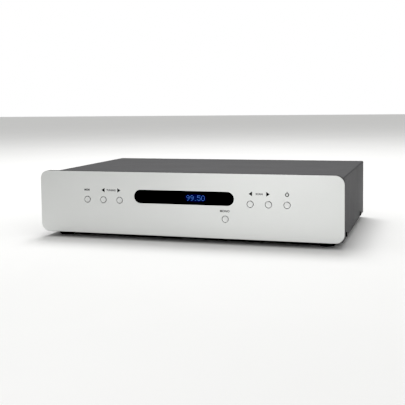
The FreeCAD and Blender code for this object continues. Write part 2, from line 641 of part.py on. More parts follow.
def build_feet():
    """Four round feet with a rubber ring under each."""
    feet = new_body("feet")
    seat = S.pad_height - S.pad_recess
    pad(feet, "XY", seat, BASE - seat, *[circle(x, y, S.foot_radius) for x, y in foot_places()])
    soften(feet, "Fillet", S.foot_edge, at_level(2, seat))
    cut(feet, "XY", seat, S.pad_recess, *[circle(x, y, S.pad_outer) for x, y in foot_places()])
    cut(feet, "XY", seat, S.foot_seat - seat, *[circle(x, y, HEAD_HOLE) for x, y in foot_places()])
    cut(feet, "XY", S.foot_seat, BASE - S.foot_seat, *[circle(x, y, SCREW_HOLE) for x, y in foot_places()])
    pads = new_body("foot_pads")
    pad(pads, "XY", 0, S.pad_height, *[circle(x, y, S.pad_outer) for x, y in foot_places()],
        *[circle(x, y, S.pad_inner) for x, y in foot_places()])
    soften(pads, "Chamfer", S.pad_bevel, at_level(2, 0))


def build_screws():
    """Plain M3 screws inside and below, and the black ones that hold the cover."""
    inside = new_body("chassis_screws")
    plain = (S.screw_head, S.screw_head_height, S.screw_reach)
    add_screws(inside, "XZ", FRAME_BACK, panel_screw_places(), -1, *plain)
    add_screws(inside, "XZ", BOARD_BACK, spacer_places(), -1, *plain)
    add_screws(inside, "XY", BASE, frame_screw_places() + rear_flange_places(), 1, *plain)
    add_screws(inside, "XY", MAIN_TOP, standoff_places(), -1, *plain)
    add_screws(inside, "XY", S.foot_seat, foot_places(), 1, *plain)
    cover = new_body("cover_screws")
    black = (S.cover_head, S.cover_head_height, S.cover_reach)
    half = CASE_WIDTH / 2
    add_screws(cover, "YZ", half, side_screw_places(), -1, *black)
    add_screws(cover, "YZ", -half, side_screw_places(), 1, *black)
    add_screws(cover, "XZ", S.case_depth, lip_screw_places(), -1, *black)


# ---------------------------------------------------------------- rear sockets

def build_audio_sockets():
    """Twin phono block: moulding, two plated sleeves, and a coloured insert in each."""
    block = new_body("audio_socket_block")
    width = S.socket_pitch + (NECK_RADIUS + S.block_margin) * 2
    neck = NECK_RADIUS
    pad(block, "XZ", REAR_INNER - S.block_depth, S.block_depth,
        rectangle(SOCKET_X - width / 2, MAIN_TOP, width, S.block_height))
    pad(block, "XZ", REAR_INNER, S.tray_sheet + S.neck_proud, *[circle(x, SOCKET_Z, neck) for x in SOCKETS])
    root, sunk = REAR + S.neck_proud, S.sleeve_sunk
    bore = S.sleeve_radius - S.sleeve_wall
    cut(block, "XZ", root - sunk, sunk, *[circle(x, SOCKET_Z, SLEEVE_COLLAR) for x in SOCKETS])
    sleeves = new_body("audio_sleeves")
    pad(sleeves, "XZ", root - sunk, sunk, *[circle(x, SOCKET_Z, SLEEVE_COLLAR) for x in SOCKETS])
    pad(sleeves, "XZ", root, S.sleeve_length, *[circle(x, SOCKET_Z, S.sleeve_radius) for x in SOCKETS])
    cut(sleeves, "XZ", root - sunk, sunk + S.sleeve_length, *[circle(x, SOCKET_Z, bore) for x in SOCKETS])
    for side, x in zip(("left", "right"), reversed(SOCKETS)):
        insert = new_body("audio_insert_" + side, x=x, y=root - sunk, z=SOCKET_Z)
        length = S.sleeve_length + sunk - S.insert_set
        pad(insert, "XZ", 0, length, circle(0, 0, bore))
        cut(insert, "XZ", S.insert_floor, length - S.insert_floor, circle(0, 0, S.insert_bore))


def build_aerial_socket():
    """Threaded coaxial aerial socket through the rear panel, with its insulator and nut."""
    shell = new_body("aerial_socket", x=AERIAL_X, z=AERIAL_Z)
    inside, through = S.aerial_inside, S.tray_sheet + S.nut_thick
    pad(shell, "XZ", REAR_INNER - inside, inside + through, circle(0, 0, AERIAL_COLLAR))
    pad(shell, "XZ", REAR + S.nut_thick, S.aerial_reach - S.nut_thick, circle(0, 0, S.aerial_radius))
    pad(shell, "XZ", REAR_INNER - S.nut_thick, S.nut_thick, hexagon(as_size(0), as_size(0), NUT_FLAT))
    soften(shell, "Chamfer", S.aerial_bevel, at_level(1, REAR + S.aerial_reach))
    cut(shell, "XZ", REAR, S.aerial_reach, circle(0, 0, S.aerial_bore))
    core = new_body("aerial_insulator", x=AERIAL_X, z=AERIAL_Z)
    length = S.aerial_reach - S.core_set
    pad(core, "XZ", REAR, length, circle(0, 0, S.aerial_bore))
    cut(core, "XZ", REAR + S.core_floor, length - S.core_floor, circle(0, 0, S.aerial_hole))
    nut = new_body("aerial_nut", x=AERIAL_X, z=AERIAL_Z)
    pad(nut, "XZ", REAR, S.nut_thick, hexagon(as_size(0), as_size(0), NUT_FLAT))
    cut(nut, "XZ", REAR, S.nut_thick, circle(0, 0, AERIAL_COLLAR))


def inlet_pins():
    """Earth pin above, line and neutral below, each as (x, z) from the inlet's centre."""
    return [(as_size(0), S.pin_rise), (-S.pin_pitch, -S.pin_drop), (S.pin_pitch, -S.pin_drop)]


def build_mains_inlet():
    """Three-pin appliance inlet: flanged cup, pins with solder tabs, and two screws."""
    cup = new_body("mains_inlet", x=-INLET_X, z=S.inlet_z)
    front = REAR - S.inlet_depth
    pad(cup, "XZ", front, S.inlet_depth, centred(0, 0, S.inlet_width, S.inlet_height))
    pad(cup, "XZ", REAR, S.inlet_flange_thick, centred(0, 0, S.inlet_flange, S.inlet_flange_height))
    soften(cup, "Fillet", S.inlet_corner, along(1, lambda middle: middle.y > REAR.value))
    cavity = S.inlet_depth + S.inlet_flange_thick - S.inlet_back
    wide, high = S.inlet_width - S.inlet_wall * 2, S.inlet_height - S.inlet_wall * 2
    nick = high / 4
    cut(cup, "XZ", front + S.inlet_back, cavity, outline(
        (-wide / 2, -high / 2), (wide / 2, -high / 2), (wide / 2, high / 2 - nick), (wide / 2 - nick, high / 2),
        (-wide / 2 + nick, high / 2), (-wide / 2, high / 2 - nick)))
    slots = [centred(x, z, S.pin_thick, S.pin_width) for x, z in inlet_pins()]
    cut(cup, "XZ", front, S.inlet_back, *slots)
    cut(cup, "XZ", REAR, S.inlet_flange_thick,
        *[circle(side * S.inlet_screw_x, 0, SCREW_HOLE) for side in (-1, 1)])
    pins = new_body("mains_pins", x=-INLET_X, z=S.inlet_z)
    length = S.tab_reach + S.inlet_back + cavity - S.pin_short
    blades = [centred(x, z, S.pin_thick, S.pin_width) for x, z in inlet_pins()]
    pad(pins, "XZ", front - S.tab_reach, length, *blades)
    screws = new_body("inlet_screws")
    face = REAR + S.inlet_flange_thick
    places = [(-INLET_X + side * S.inlet_screw_x, S.inlet_z) for side in (-1, 1)]
    reach = S.screw_reach + S.inlet_screw_spare
    add_screws(screws, "XZ", face, places, -1, S.screw_head, S.screw_head_height, reach)


def build_rocker():
    """Mains rocker: flanged housing and a paddle that tips on a pin across the housing."""
    housing = new_body("rocker_housing", x=-ROCKER_X, z=S.inlet_z)
    front, flange = REAR - S.rocker_depth, S.rocker_flange_margin * 2
    pad(housing, "XZ", front, S.rocker_depth, centred(0, 0, ROCKER_OUT_W, ROCKER_OUT_H))
    pad(housing, "XZ", REAR, S.rocker_flange, centred(0, 0, ROCKER_OUT_W + flange, ROCKER_OUT_H + flange))
    mouth = REAR + S.rocker_flange
    well = S.rocker_depth + S.rocker_flange - S.rocker_wall
    cut(housing, "XZ", mouth - well, well, centred(0, 0, S.rocker_width, S.rocker_length))
    pivot = mouth - S.pivot_set
    half = ROCKER_OUT_W / 2
    cut(housing, "YZ", -half, ROCKER_OUT_W, circle(pivot, 0, S.pivot_radius + S.pivot_gap))

    paddle = new_body("rocker", x=-ROCKER_X, y=pivot, z=S.inlet_z, tilt=S.rocker_tilt)
    width = S.rocker_width - S.rocker_gap * 2
    reach = S.rocker_length / 2 - S.rocker_end_gap
    back, foot = -S.paddle_depth / 2, reach * PADDLE_FOOT
    face, high = S.pivot_set - S.paddle_dip, S.pivot_set + S.paddle_rise
    low = high - S.paddle_side
    pad(paddle, "YZ", -width / 2, width, outline(
        (back, -foot), (low, -reach), (high, -reach), (face, as_size(0)),
        (high, reach), (low, reach), (back, foot)))
    pad(paddle, "YZ", -half, ROCKER_OUT_W, circle(0, 0, S.pivot_radius))


# ---------------------------------------------------------------- works inside

def build_transformer():
    """Toroidal transformer clamped to the tray between rubber discs."""
    x, y = -CORE_X, S.core_y
    low, high = S.core_pad, S.core_pad + S.core_height
    windings = new_body("transformer", x=x, y=y, z=TRAY_TOP)
    revolve(windings, (S.core_inner, low), (S.core_outer, low), (S.core_outer, high), (S.core_inner, high))
    soften(windings, "Fillet", S.core_round, lambda edge: abs(edge.Curve.Radius - S.core_outer.value) < 1e-3
           if edge.Curve.TypeId == "Part::GeomCircle" else False)
    pads = new_body("transformer_pads", x=x, y=y, z=TRAY_TOP)
    for level in (as_size(0), high):
        pad(pads, "XY", level, S.core_pad, circle(0, 0, S.washer_radius + S.pad_margin), circle(0, 0, BOLT_HOLE))
    washer = new_body("transformer_washer", x=x, y=y, z=TRAY_TOP)
    seat = high + S.core_pad
    pad(washer, "XY", seat, S.washer_thick, circle(0, 0, S.washer_radius), circle(0, 0, BOLT_HOLE))
    soften(washer, "Chamfer", S.washer_bevel, at_level(2, seat + S.washer_thick))
    bolt = new_body("transformer_bolt", x=x, y=y)
    tip = TRAY_TOP + seat + S.washer_thick + S.nut_height + S.bolt_spare
    pad(bolt, "XY", BASE, tip - BASE, circle(0, 0, S.bolt_radius))
    pad(bolt, "XY", BASE - S.bolt_head_height, S.bolt_head_height, hexagon(as_size(0), as_size(0), S.bolt_head))
    nut = new_body("transformer_nut", x=x, y=y, z=TRAY_TOP + seat + S.washer_thick)
    pad(nut, "XY", 0, S.nut_height, hexagon(as_size(0), as_size(0), S.bolt_head))
    cut(nut, "XY", 0, S.nut_height, circle(0, 0, S.bolt_radius))


def build_main_board():
    """Main circuit board on pressed-in standoffs."""
    board = new_body("main_board")
    pad(board, "XY", MAIN_UNDER, S.board_thick,
        rectangle(-S.main_left, S.main_front, S.main_left + MAIN_RIGHT, MAIN_REAR - S.main_front))
    cut(board, "XY", MAIN_UNDER, S.board_thick, *[circle(x, y, SCREW_HOLE) for x, y in standoff_places()])
    posts = new_body("board_standoffs")
    pad(posts, "XY", TRAY_TOP, S.standoff, *[hexagon(x, y, S.standoff_radius) for x, y in standoff_places()])
    cut(posts, "XY", TRAY_TOP, S.standoff, *[circle(x, y, SCREW_HOLE) for x, y in standoff_places()])


def build_tuner_can():
    """Tinplate screening can of the tuner stage, with its push-on lid."""
    can = new_body("tuner_can", x=AERIAL_X, y=REAR_INNER - S.aerial_inside - S.can_depth, z=MAIN_TOP)
    wall, length, depth = S.can_sheet, S.can_length, S.can_depth
    pad(can, "XY", 0, S.can_height, rectangle(-length / 2, 0, length, depth),
        rectangle(-length / 2 + wall, wall, length - wall * 2, depth - wall * 2))
    pad(can, "XY", 0, S.can_height - S.divider_drop, rectangle(-wall / 2, wall, wall, depth - wall * 2))
    lid = new_body("tuner_lid", x=AERIAL_X, y=REAR_INNER - S.aerial_inside - S.can_depth, z=MAIN_TOP)
    out = S.can_gap + wall
    pad(lid, "XY", S.can_height, wall, rectangle(-length / 2 - out, -out, length + out * 2, depth + out * 2))
    pad(lid, "XY", S.can_height - LID_DROP, LID_DROP,
        rectangle(-length / 2 - out, -out, length + out * 2, depth + out * 2),
        rectangle(-length / 2 - S.can_gap, -S.can_gap, length + S.can_gap * 2, depth + S.can_gap * 2))


def build_supply():
    """Reservoir and smoothing capacitors, the finned heatsink, and the regulators on it."""
    caps = new_body("capacitors", z=MAIN_TOP)
    pad(caps, "XY", 0, S.cap_height,
        *[circle(CAP_X + (S.cap_radius * 2 + S.cap_gap) * i, SUPPLY_Y, S.cap_radius) for i in range(2)])
    pad(caps, "XY", 0, S.small_cap_height,
        *[circle(S.small_cap_x + (S.small_cap_radius * 2 + S.small_cap_gap) * i,
                 SUPPLY_Y + S.small_cap_back, S.small_cap_radius) for i in range(SIZES["small_cap_count"])])
    soften(caps, "Fillet", S.cap_edge, at_level(2, S.cap_height))
    soften(caps, "Fillet", S.small_cap_edge, at_level(2, S.small_cap_height))

    sink = new_body("heatsink", x=SINK_X, y=SUPPLY_Y - S.sink_forward, z=MAIN_TOP)
    pitch = (S.sink_length - S.fin_thick) / (S.fin_count - 1)
    tip = S.fin_depth + S.sink_thick
    corners = [(as_size(0), as_size(0)), (S.sink_length, as_size(0))]
    for i in reversed(range(SIZES["fin_count"])):
        start = pitch * i
        corners += [(start + S.fin_thick, tip), (start, tip)]
        if i:
            corners += [(start, S.sink_thick), (start - pitch + S.fin_thick, S.sink_thick)]
    pad(sink, "XY", 0, S.sink_height, outline(*corners))

    regulators = new_body("regulators", x=SINK_X, y=SUPPLY_Y - S.sink_forward, z=MAIN_TOP)
    leg_back = S.leg_set + S.leg_thick
    for i in range(SIZES["regulator_count"]):
        middle = S.sink_length / S.regulator_count * (i + 0.5)
        left = middle - S.regulator_width / 2
        pad(regulators, "XY", S.leg_length, S.regulator_height,
            rectangle(left, -S.regulator_thick, S.regulator_width, S.regulator_thick))
        pad(regulators, "XY", S.leg_length + S.regulator_height, S.tab_height,
            rectangle(left, -S.tab_thick, S.regulator_width, S.tab_thick))
        pad(regulators, "XY", 0, S.leg_length,
            *[rectangle(middle + S.leg_pitch * j - S.leg_width / 2, -leg_back, S.leg_width, S.leg_thick)
              for j in (-1, 0, 1)])


def build_board_parts():
    """Flat chips, the fuse in its clips, and the connectors of both boards."""
    chips = new_body("chips", z=MAIN_TOP)
    row, under = SUPPLY_Y + S.chip_back, S.chip_undercut * 2
    cases = [centred(as_size(x), row, as_size(length), as_size(depth)) for x, length, depth in CHIPS]
    soles = [centred(as_size(x), row, length - under, depth - under) for x, length, depth in CHIPS]
    pad(chips, "XY", S.chip_lift, S.chip_height, *cases)
    pad(chips, "XY", 0, S.chip_lift, *soles)

    back = SUPPLY_Y + S.fuse_back
    fuse = new_body("fuse", x=S.fuse_x, y=back, z=MAIN_TOP + S.fuse_rise)
    pad(fuse, "XZ", 0, S.fuse_length, circle(0, 0, S.fuse_radius))
    clips = new_body("fuse_clips", x=S.fuse_x, y=back, z=MAIN_TOP)
    half, top = S.fuse_radius + S.clip_wall, S.fuse_rise + S.fuse_radius + S.clip_lip
    mouth = S.fuse_rise + S.fuse_radius / 2
    for start in (S.clip_inset, S.fuse_length - S.clip_inset - S.clip_depth):
        pad(clips, "XZ", start, S.clip_depth, rectangle(-half, as_size(0), half * 2, top))
        cut(clips, "XZ", start, S.clip_depth, circle(0, S.fuse_rise, S.fuse_radius))
        cut(clips, "XZ", start, S.clip_depth, rectangle(-S.clip_mouth / 2, mouth, S.clip_mouth, top - mouth))

    plugs = new_body("board_connectors", z=MAIN_TOP)
    header = S.ribbon_width + S.header_margin * 2
    pad(plugs, "XY", 0, S.plug_height, centred(PLUG_X, SUPPLY_Y, S.plug_width, S.power_plug),
        centred(PLUG_X, MAINS_PLUG_Y, S.plug_width, S.mains_plug),
        centred(S.ribbon_x, S.main_front + S.header_depth, header, S.header_depth))
    level = BASE + S.front_board_low + S.header_rise - MAIN_TOP
    pad(plugs, "XZ", BOARD_BACK, S.header_depth, rectangle(S.ribbon_x - header / 2, level, header, S.header_depth))


def build_ribbon():
    """Flat cable from the front board, down and back to the main board."""
    body = new_body("ribbon_cable")
    start, turn = BOARD_BACK + S.header_depth, BOARD_BACK + S.header_depth + S.ribbon_out
    drop = BASE + S.front_board_low + S.header_rise + S.ribbon_rise
    end, stand, t = S.main_front + S.header_depth, PLUG_TOP + S.ribbon_stand, S.ribbon_thick
    pad(body, "YZ", S.ribbon_x - S.ribbon_width / 2, S.ribbon_width, outline(
        (start, drop), (turn, drop), (end, stand), (end, PLUG_TOP), (end + t, PLUG_TOP),
        (end + t, stand + t), (turn, drop + t), (start, drop + t)))


def tube(label, routes, radius):
    """Round leads: straight runs joined by tangent arcs, as a group of sweeps."""
    solids = []
    for points in routes:
        points = [FreeCAD.Vector(*[as_size(value).value for value in point]) for point in points]
        edges, here = [], points[0]
        for i in range(1, len(points) - 1):
            before, after = points[i - 1] - points[i], points[i + 1] - points[i]
            half = before.getAngle(after) / 2
            back = BEND_SHARE * min(before.Length, after.Length)
            bend = back * math.tan(half)
            before.normalize()
            after.normalize()
            first, last = points[i] + before * back, points[i] + after * back
            inward = before + after
            inward.normalize()
            middle = points[i] + inward * (bend / math.sin(half) - bend)
            edges += [Part.LineSegment(here, first).toShape(), Part.Arc(first, middle, last).toShape()]
            print(f"{label}: bend radius {bend:.1f} mm")
            here = last
        edges.append(Part.LineSegment(here, points[-1]).toShape())
        path = Part.Wire(edges)
        ring = Part.Wire([Part.Circle(points[0], points[1] - points[0], radius).toShape()])
        solid = path.makePipeShell([ring], True, True)
        expected = math.pi * radius ** 2 * path.Length
        if abs(solid.Volume - expected) > VOLUME_SLACK * expected:
            raise RuntimeError(f"{label} has the wrong volume")
        solids.append(solid)
    feature = doc.addObject("Part::Feature", label)
    feature.Label = label
    feature.Shape = Part.makeCompound(solids)
    feature.Placement = FreeCAD.Placement(FreeCAD.Vector(0, -MIDDLE.value, 0), FreeCAD.Rotation())
    PARTS.append(feature)


def build_leads():
    """Transformer leads to the main board, and mains leads from inlet to switch."""
    edge = S.core_outer - CORE_X
    out = TRAY_TOP + S.core_pad + S.core_height / 2
    routes = []
    for i in range(SIZES["lead_count"]):
        y = SUPPLY_Y + S.lead_pitch * (i - (S.lead_count - 1) / 2)
        bends = [(edge + past, y, out + rise) for past, rise in LEAD_BENDS]
        last = (PLUG_X, y, out + S.lead_end_rise)
        routes.append([(edge + S.lead_gap, y, out), *bends, last, (PLUG_X, y, PLUG_TOP)])
    tube("transformer_leads", routes, SIZES["lead_radius"])
    back = REAR - S.inlet_depth - S.tab_reach
    routes = []
    for i, (across, rise) in enumerate(inlet_pins()[1:]):
        x, start, aside = across - INLET_X, S.inlet_z + rise, S.mains_spread * i
        turned, plug = back - S.mains_back - aside, MAINS_PLUG_Y + S.mains_spread / 2 - aside
        first, second, third = (start - fall for fall in MAINS_FALLS)
        routes.append([(x, back, start), (x, back - S.mains_straight - aside, start),
                       (x + S.mains_across, turned, first), (-S.main_left - S.mains_short, turned, second),
                       (PLUG_X, plug, third), (PLUG_X, plug, PLUG_TOP)])
    tube("mains_leads", routes, SIZES["lead_radius"])


# ---------------------------------------------------------------- build, check and write

def check_document():
    for item in doc.Objects:
        if {"Invalid", "Error"} & set(item.State):
            raise RuntimeError(f"{item.Label} failed: {item.State}")
    for part in PARTS:
        if part.Shape.isNull() or not part.Shape.isValid() or not part.Shape.Solids:
            raise RuntimeError(f"{part.Label} has no valid solid")


def main():
    build_front_panel()
    build_display_window()
    build_buttons()
    build_key_switches()
    build_front_frame()
    build_front_board()
    build_display_module()
    build_chassis_tray()
    build_rear_panel()
    build_top_cover()
    build_feet()
    build_screws()
    build_audio_sockets()
    build_aerial_socket()
    build_mains_inlet()
    build_rocker()
    build_transformer()
    build_main_board()
    build_tuner_can()
    build_supply()
    build_board_parts()
    build_ribbon()
    build_leads()
    doc.recompute()
    check_document()
    os.makedirs("parts", exist_ok=True)
    for part in PARTS:
        part.Shape.exportStep(f"parts/{part.Label}.step")
    print(f"{len(PARTS)} nodes written")


main()
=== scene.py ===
"""Full-width hi-fi FM tuner: silver front, dark folded case, lit display, on a pale studio floor.

Lengths are metres in the row frame: X to the right, Y from the front to the back, Z up from
the floor. The CAD solids stay where they are and get their finishes here; turned caps, the
printed marks, the lit characters and the rear fittings are surfaces worked out below.
"""
import json
import math

import bpy
import numpy as np
from mathutils import Matrix, Vector

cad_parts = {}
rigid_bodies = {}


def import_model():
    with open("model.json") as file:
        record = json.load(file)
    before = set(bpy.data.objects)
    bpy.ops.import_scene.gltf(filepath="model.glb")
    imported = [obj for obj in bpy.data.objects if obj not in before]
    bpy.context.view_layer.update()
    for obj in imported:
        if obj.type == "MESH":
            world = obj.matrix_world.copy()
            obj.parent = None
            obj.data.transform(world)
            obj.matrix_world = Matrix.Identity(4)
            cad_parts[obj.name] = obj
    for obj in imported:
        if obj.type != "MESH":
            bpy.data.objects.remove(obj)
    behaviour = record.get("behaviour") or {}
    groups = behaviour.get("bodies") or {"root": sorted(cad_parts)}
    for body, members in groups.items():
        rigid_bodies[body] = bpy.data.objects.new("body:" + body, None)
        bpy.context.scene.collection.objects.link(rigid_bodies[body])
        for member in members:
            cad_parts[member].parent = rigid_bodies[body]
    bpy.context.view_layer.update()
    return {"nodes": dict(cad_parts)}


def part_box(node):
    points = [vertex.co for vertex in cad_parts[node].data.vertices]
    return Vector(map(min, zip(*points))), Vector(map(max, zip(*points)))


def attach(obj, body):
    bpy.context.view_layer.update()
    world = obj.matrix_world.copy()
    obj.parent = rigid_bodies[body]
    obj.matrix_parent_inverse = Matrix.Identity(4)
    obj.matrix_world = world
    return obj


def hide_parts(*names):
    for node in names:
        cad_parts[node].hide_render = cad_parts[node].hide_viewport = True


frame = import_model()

MM = 0.001
SCENE = bpy.context.scene
SHARP = math.radians(32)
FULL_TURN = 2 * math.pi
# A radius no larger than this is on the axis.
ON_AXIS = 1e-9

# ------------------------------------------------------------------ camera and studio

CAMERA_PLACE = (0.331446, -1.099891, 0.195955)
CAMERA_YAW, CAMERA_PITCH, CAMERA_ROLL = 0.3074, 0.0833, -0.0133
CAMERA_LENS, CAMERA_SENSOR, CAMERA_SHIFT = 65.656, 36.0, -0.10
NEAREST_SEEN, FARTHEST_SEEN = 0.05, 50.0


def set_camera():
    """Aims the camera: forward from yaw and pitch, the level right and up turned by the roll."""
    sin_yaw, cos_yaw = math.sin(CAMERA_YAW), math.cos(CAMERA_YAW)
    sin_pitch, cos_pitch = math.sin(CAMERA_PITCH), math.cos(CAMERA_PITCH)
    forward = Vector((-sin_yaw * cos_pitch, cos_yaw * cos_pitch, -sin_pitch))
    level = Vector((cos_yaw, sin_yaw, 0))
    above = level.cross(forward)
    right = math.cos(CAMERA_ROLL) * level + math.sin(CAMERA_ROLL) * above
    up = right.cross(forward)
    lens = bpy.data.cameras.new("camera")
    lens.lens, lens.sensor_width, lens.shift_y = CAMERA_LENS, CAMERA_SENSOR, CAMERA_SHIFT
    lens.clip_start, lens.clip_end = NEAREST_SEEN, FARTHEST_SEEN
    camera = bpy.data.objects.new("camera", lens)
    aimed = Matrix((right, up, -forward)).transposed().to_4x4()
    camera.matrix_world = Matrix.Translation(CAMERA_PLACE) @ aimed
    SCENE.collection.objects.link(camera)
    SCENE.camera = camera


# Brightness of the studio's walls and ceiling, where the floor's own full white is about 1.
WALL_BEHIND, WALL_FRONT, WALL_DIM, WALL_FOOT, CEILING = 0.42, 1.30, 0.25, 0.40, 0.60
# The ways that the bright walls and the dim one face, and how nearly a ray must run that way.
FRONT_WAY, FRONT_RANGE = (0.10, -0.99, 0.0), (-0.3, 0.6)
DIM_WAY, DIM_RANGE = (-0.80, -0.60, 0.0), (0.62, 0.99)
# The rise of a ray over which the walls' foot lightens, and over which wall turns to ceiling.
FOOT_RANGE, CEILING_RANGE = (0.0, 0.14), (0.15, 0.75)
# Light at or below this is shown as black.
DEEP_SHADE = 0.022


class Nodes:
    """A node tree with one call that adds a node, sets its fields and joins its sockets."""

    def __init__(self, owner):
        owner.use_nodes = True
        self.tree = owner.node_tree

    def add(self, kind, sockets=None, out=0, **fields):
        made = self.tree.nodes.new("ShaderNode" + kind)
        for field, value in fields.items():
            setattr(made, field, value)
        for socket, value in (sockets or {}).items():
            self.join(value, made.inputs[socket])
        return made.outputs[out] if made.outputs else None

    def join(self, value, socket):
        if isinstance(value, bpy.types.NodeSocket):
            self.tree.links.new(value, socket)
        else:
            socket.default_value = value

    def math(self, operation, a, b=0.0):
        return self.add("Math", {0: a, 1: b}, operation=operation)

    def mapped(self, value, low, high, to_low, to_high):
        """value carried from low..high to to_low..to_high and kept inside it."""
        return self.add("MapRange", {0: value, 1: low, 2: high, 3: to_low, 4: to_high})

    def mixed(self, share, first, second):
        """Two colours mixed, the second by the share."""
        made = self.tree.nodes.new("ShaderNodeMix")
        made.data_type = "RGBA"
        for socket, value in ((0, share), (6, first), (7, second)):
            self.join((*value, 1) if isinstance(value, tuple) else value, made.inputs[socket])
        return made.outputs[2]


def set_studio():
    """White backdrop to the eye. As light: bright walls in front, dimmer behind, above, to the front
    left, and towards their foot."""
    tones = SCENE.view_settings
    tones.view_transform = "Standard"
    tones.use_curve_mapping = True
    tones.curve_mapping.black_level = (DEEP_SHADE, DEEP_SHADE, DEEP_SHADE)
    tones.curve_mapping.update()
    world = bpy.data.worlds.new("studio")
    SCENE.world = world
    nodes = Nodes(world)
    nodes.tree.nodes.clear()
    ray = nodes.add("TexCoord", out=0)
    rise = nodes.add("SeparateXYZ", {0: ray}, out=2)
    towards_front = nodes.add("VectorMath", {0: ray, 1: FRONT_WAY}, out=1, operation="DOT_PRODUCT")
    towards_dim = nodes.add("VectorMath", {0: ray, 1: DIM_WAY}, out=1, operation="DOT_PRODUCT")
    wall = nodes.math("MULTIPLY", nodes.mapped(towards_front, *FRONT_RANGE, WALL_BEHIND, WALL_FRONT),
                      nodes.mapped(towards_dim, *DIM_RANGE, 1.0, WALL_DIM))
    wall = nodes.math("MULTIPLY", wall, nodes.mapped(rise, *FOOT_RANGE, WALL_FOOT, 1.0))
    ceiling = nodes.mapped(rise, *CEILING_RANGE, 0.0, 1.0)
    light = nodes.math("ADD", nodes.math("MULTIPLY", wall, nodes.math("SUBTRACT", 1.0, ceiling)),
                       nodes.math("MULTIPLY", ceiling, CEILING))
    seen = nodes.add("LightPath", out=0)
    lit = nodes.add("Background", {"Color": (1, 1, 0.99, 1), "Strength": light})
    plain = nodes.add("Background", {"Color": (1, 1, 1, 1), "Strength": 1.0})
    nodes.add("OutputWorld", {"Surface": nodes.add("MixShader", {0: seen, 1: lit, 2: plain})})


def set_softbox(name, place, aim, size, watts):
    """A square soft light hung at one place and turned to face another."""
    lamp = bpy.data.lights.new(name, "AREA")
    lamp.size, lamp.energy = size, watts
    hung = bpy.data.objects.new(name, lamp)
    hung.location = place
    hung.rotation_euler = (Vector(aim) - Vector(place)).to_track_quat("-Z", "Y").to_euler()
    hung.visible_camera = False
    SCENE.collection.objects.link(hung)


# ------------------------------------------------------------------ finishes

PANEL_LOW, PANEL_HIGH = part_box("front_panel")
PANEL_MIDDLE = (PANEL_LOW.x + PANEL_HIGH.x) / 2
# How deep behind the face the bright metal goes, and the depth over which it turns to the dark painted
# shade.
BRIGHT_DEPTH, BRIGHT_BLEND = 0.6 * MM, 0.1 * MM
# The lit characters' cells and the glow round them, from the middle and the foot of the panel.
CELL_PITCH, CELL_FIRST_X, CELL_Z = 5.85 * MM, 7.1 * MM, 54.7 * MM
GLOW_X, GLOW_HALF_X, GLOW_HALF_Z = 18.0 * MM, 20.0 * MM, 7.5 * MM
# Where most of a noise lies, and the shares of the wide and the fine noise in a finish's tone.
NOISE_RANGE, TONE_RANGE = (0.3, 0.7), (0.32, 0.68)
WIDE_SHARE, FINE_SHARE = 0.7, 0.3
COAT_ROUGHNESS = 0.08


def grained(name, colour, second, roughness, metal=0.0, specular=0.5, grain=(2500, 2500, 2500), depth=0.01,
            patch=25.0, spread=0.06, coat=0.0):
    """A finish with its own grain: fine noise for the surface, wide noise for tone and sheen.

    The height is the fine noise times the depth, in millimetres; the colour runs from the first
    to the second with the wide noise, and the roughness swings by the spread about its middle.
    """
    material = bpy.data.materials.new(name)
    nodes = Nodes(material)
    shader = nodes.tree.nodes["Principled BSDF"]
    place = nodes.add("TexCoord", out=3)
    stretched = nodes.add("Mapping", {"Vector": place, "Scale": grain})
    fine = nodes.add("TexNoise", {"Vector": stretched, "Scale": 1.0, "Detail": 3.0, "Roughness": 0.6})
    wide = nodes.add("TexNoise", {"Vector": place, "Scale": patch, "Detail": 4.0, "Roughness": 0.55})
    blotches, grit = nodes.math("MULTIPLY", wide, WIDE_SHARE), nodes.math("MULTIPLY", fine, FINE_SHARE)
    tone = nodes.mapped(nodes.math("ADD", blotches, grit), *TONE_RANGE, 0.0, 1.0)
    nodes.join(nodes.mixed(tone, colour, second), shader.inputs["Base Color"])
    sheen = nodes.mapped(wide, *NOISE_RANGE, roughness - spread, roughness + spread)
    nodes.join(sheen, shader.inputs["Roughness"])
    bump = nodes.add("Bump", {"Strength": 1.0, "Distance": depth * MM, "Height": fine})
    nodes.join(bump, shader.inputs["Normal"])
    shader.inputs["Metallic"].default_value = metal
    shader.inputs["Specular IOR Level"].default_value = specular
    if coat:
        shader.inputs["Coat Weight"].default_value = coat
        shader.inputs["Coat Roughness"].default_value = COAT_ROUGHNESS
    return material


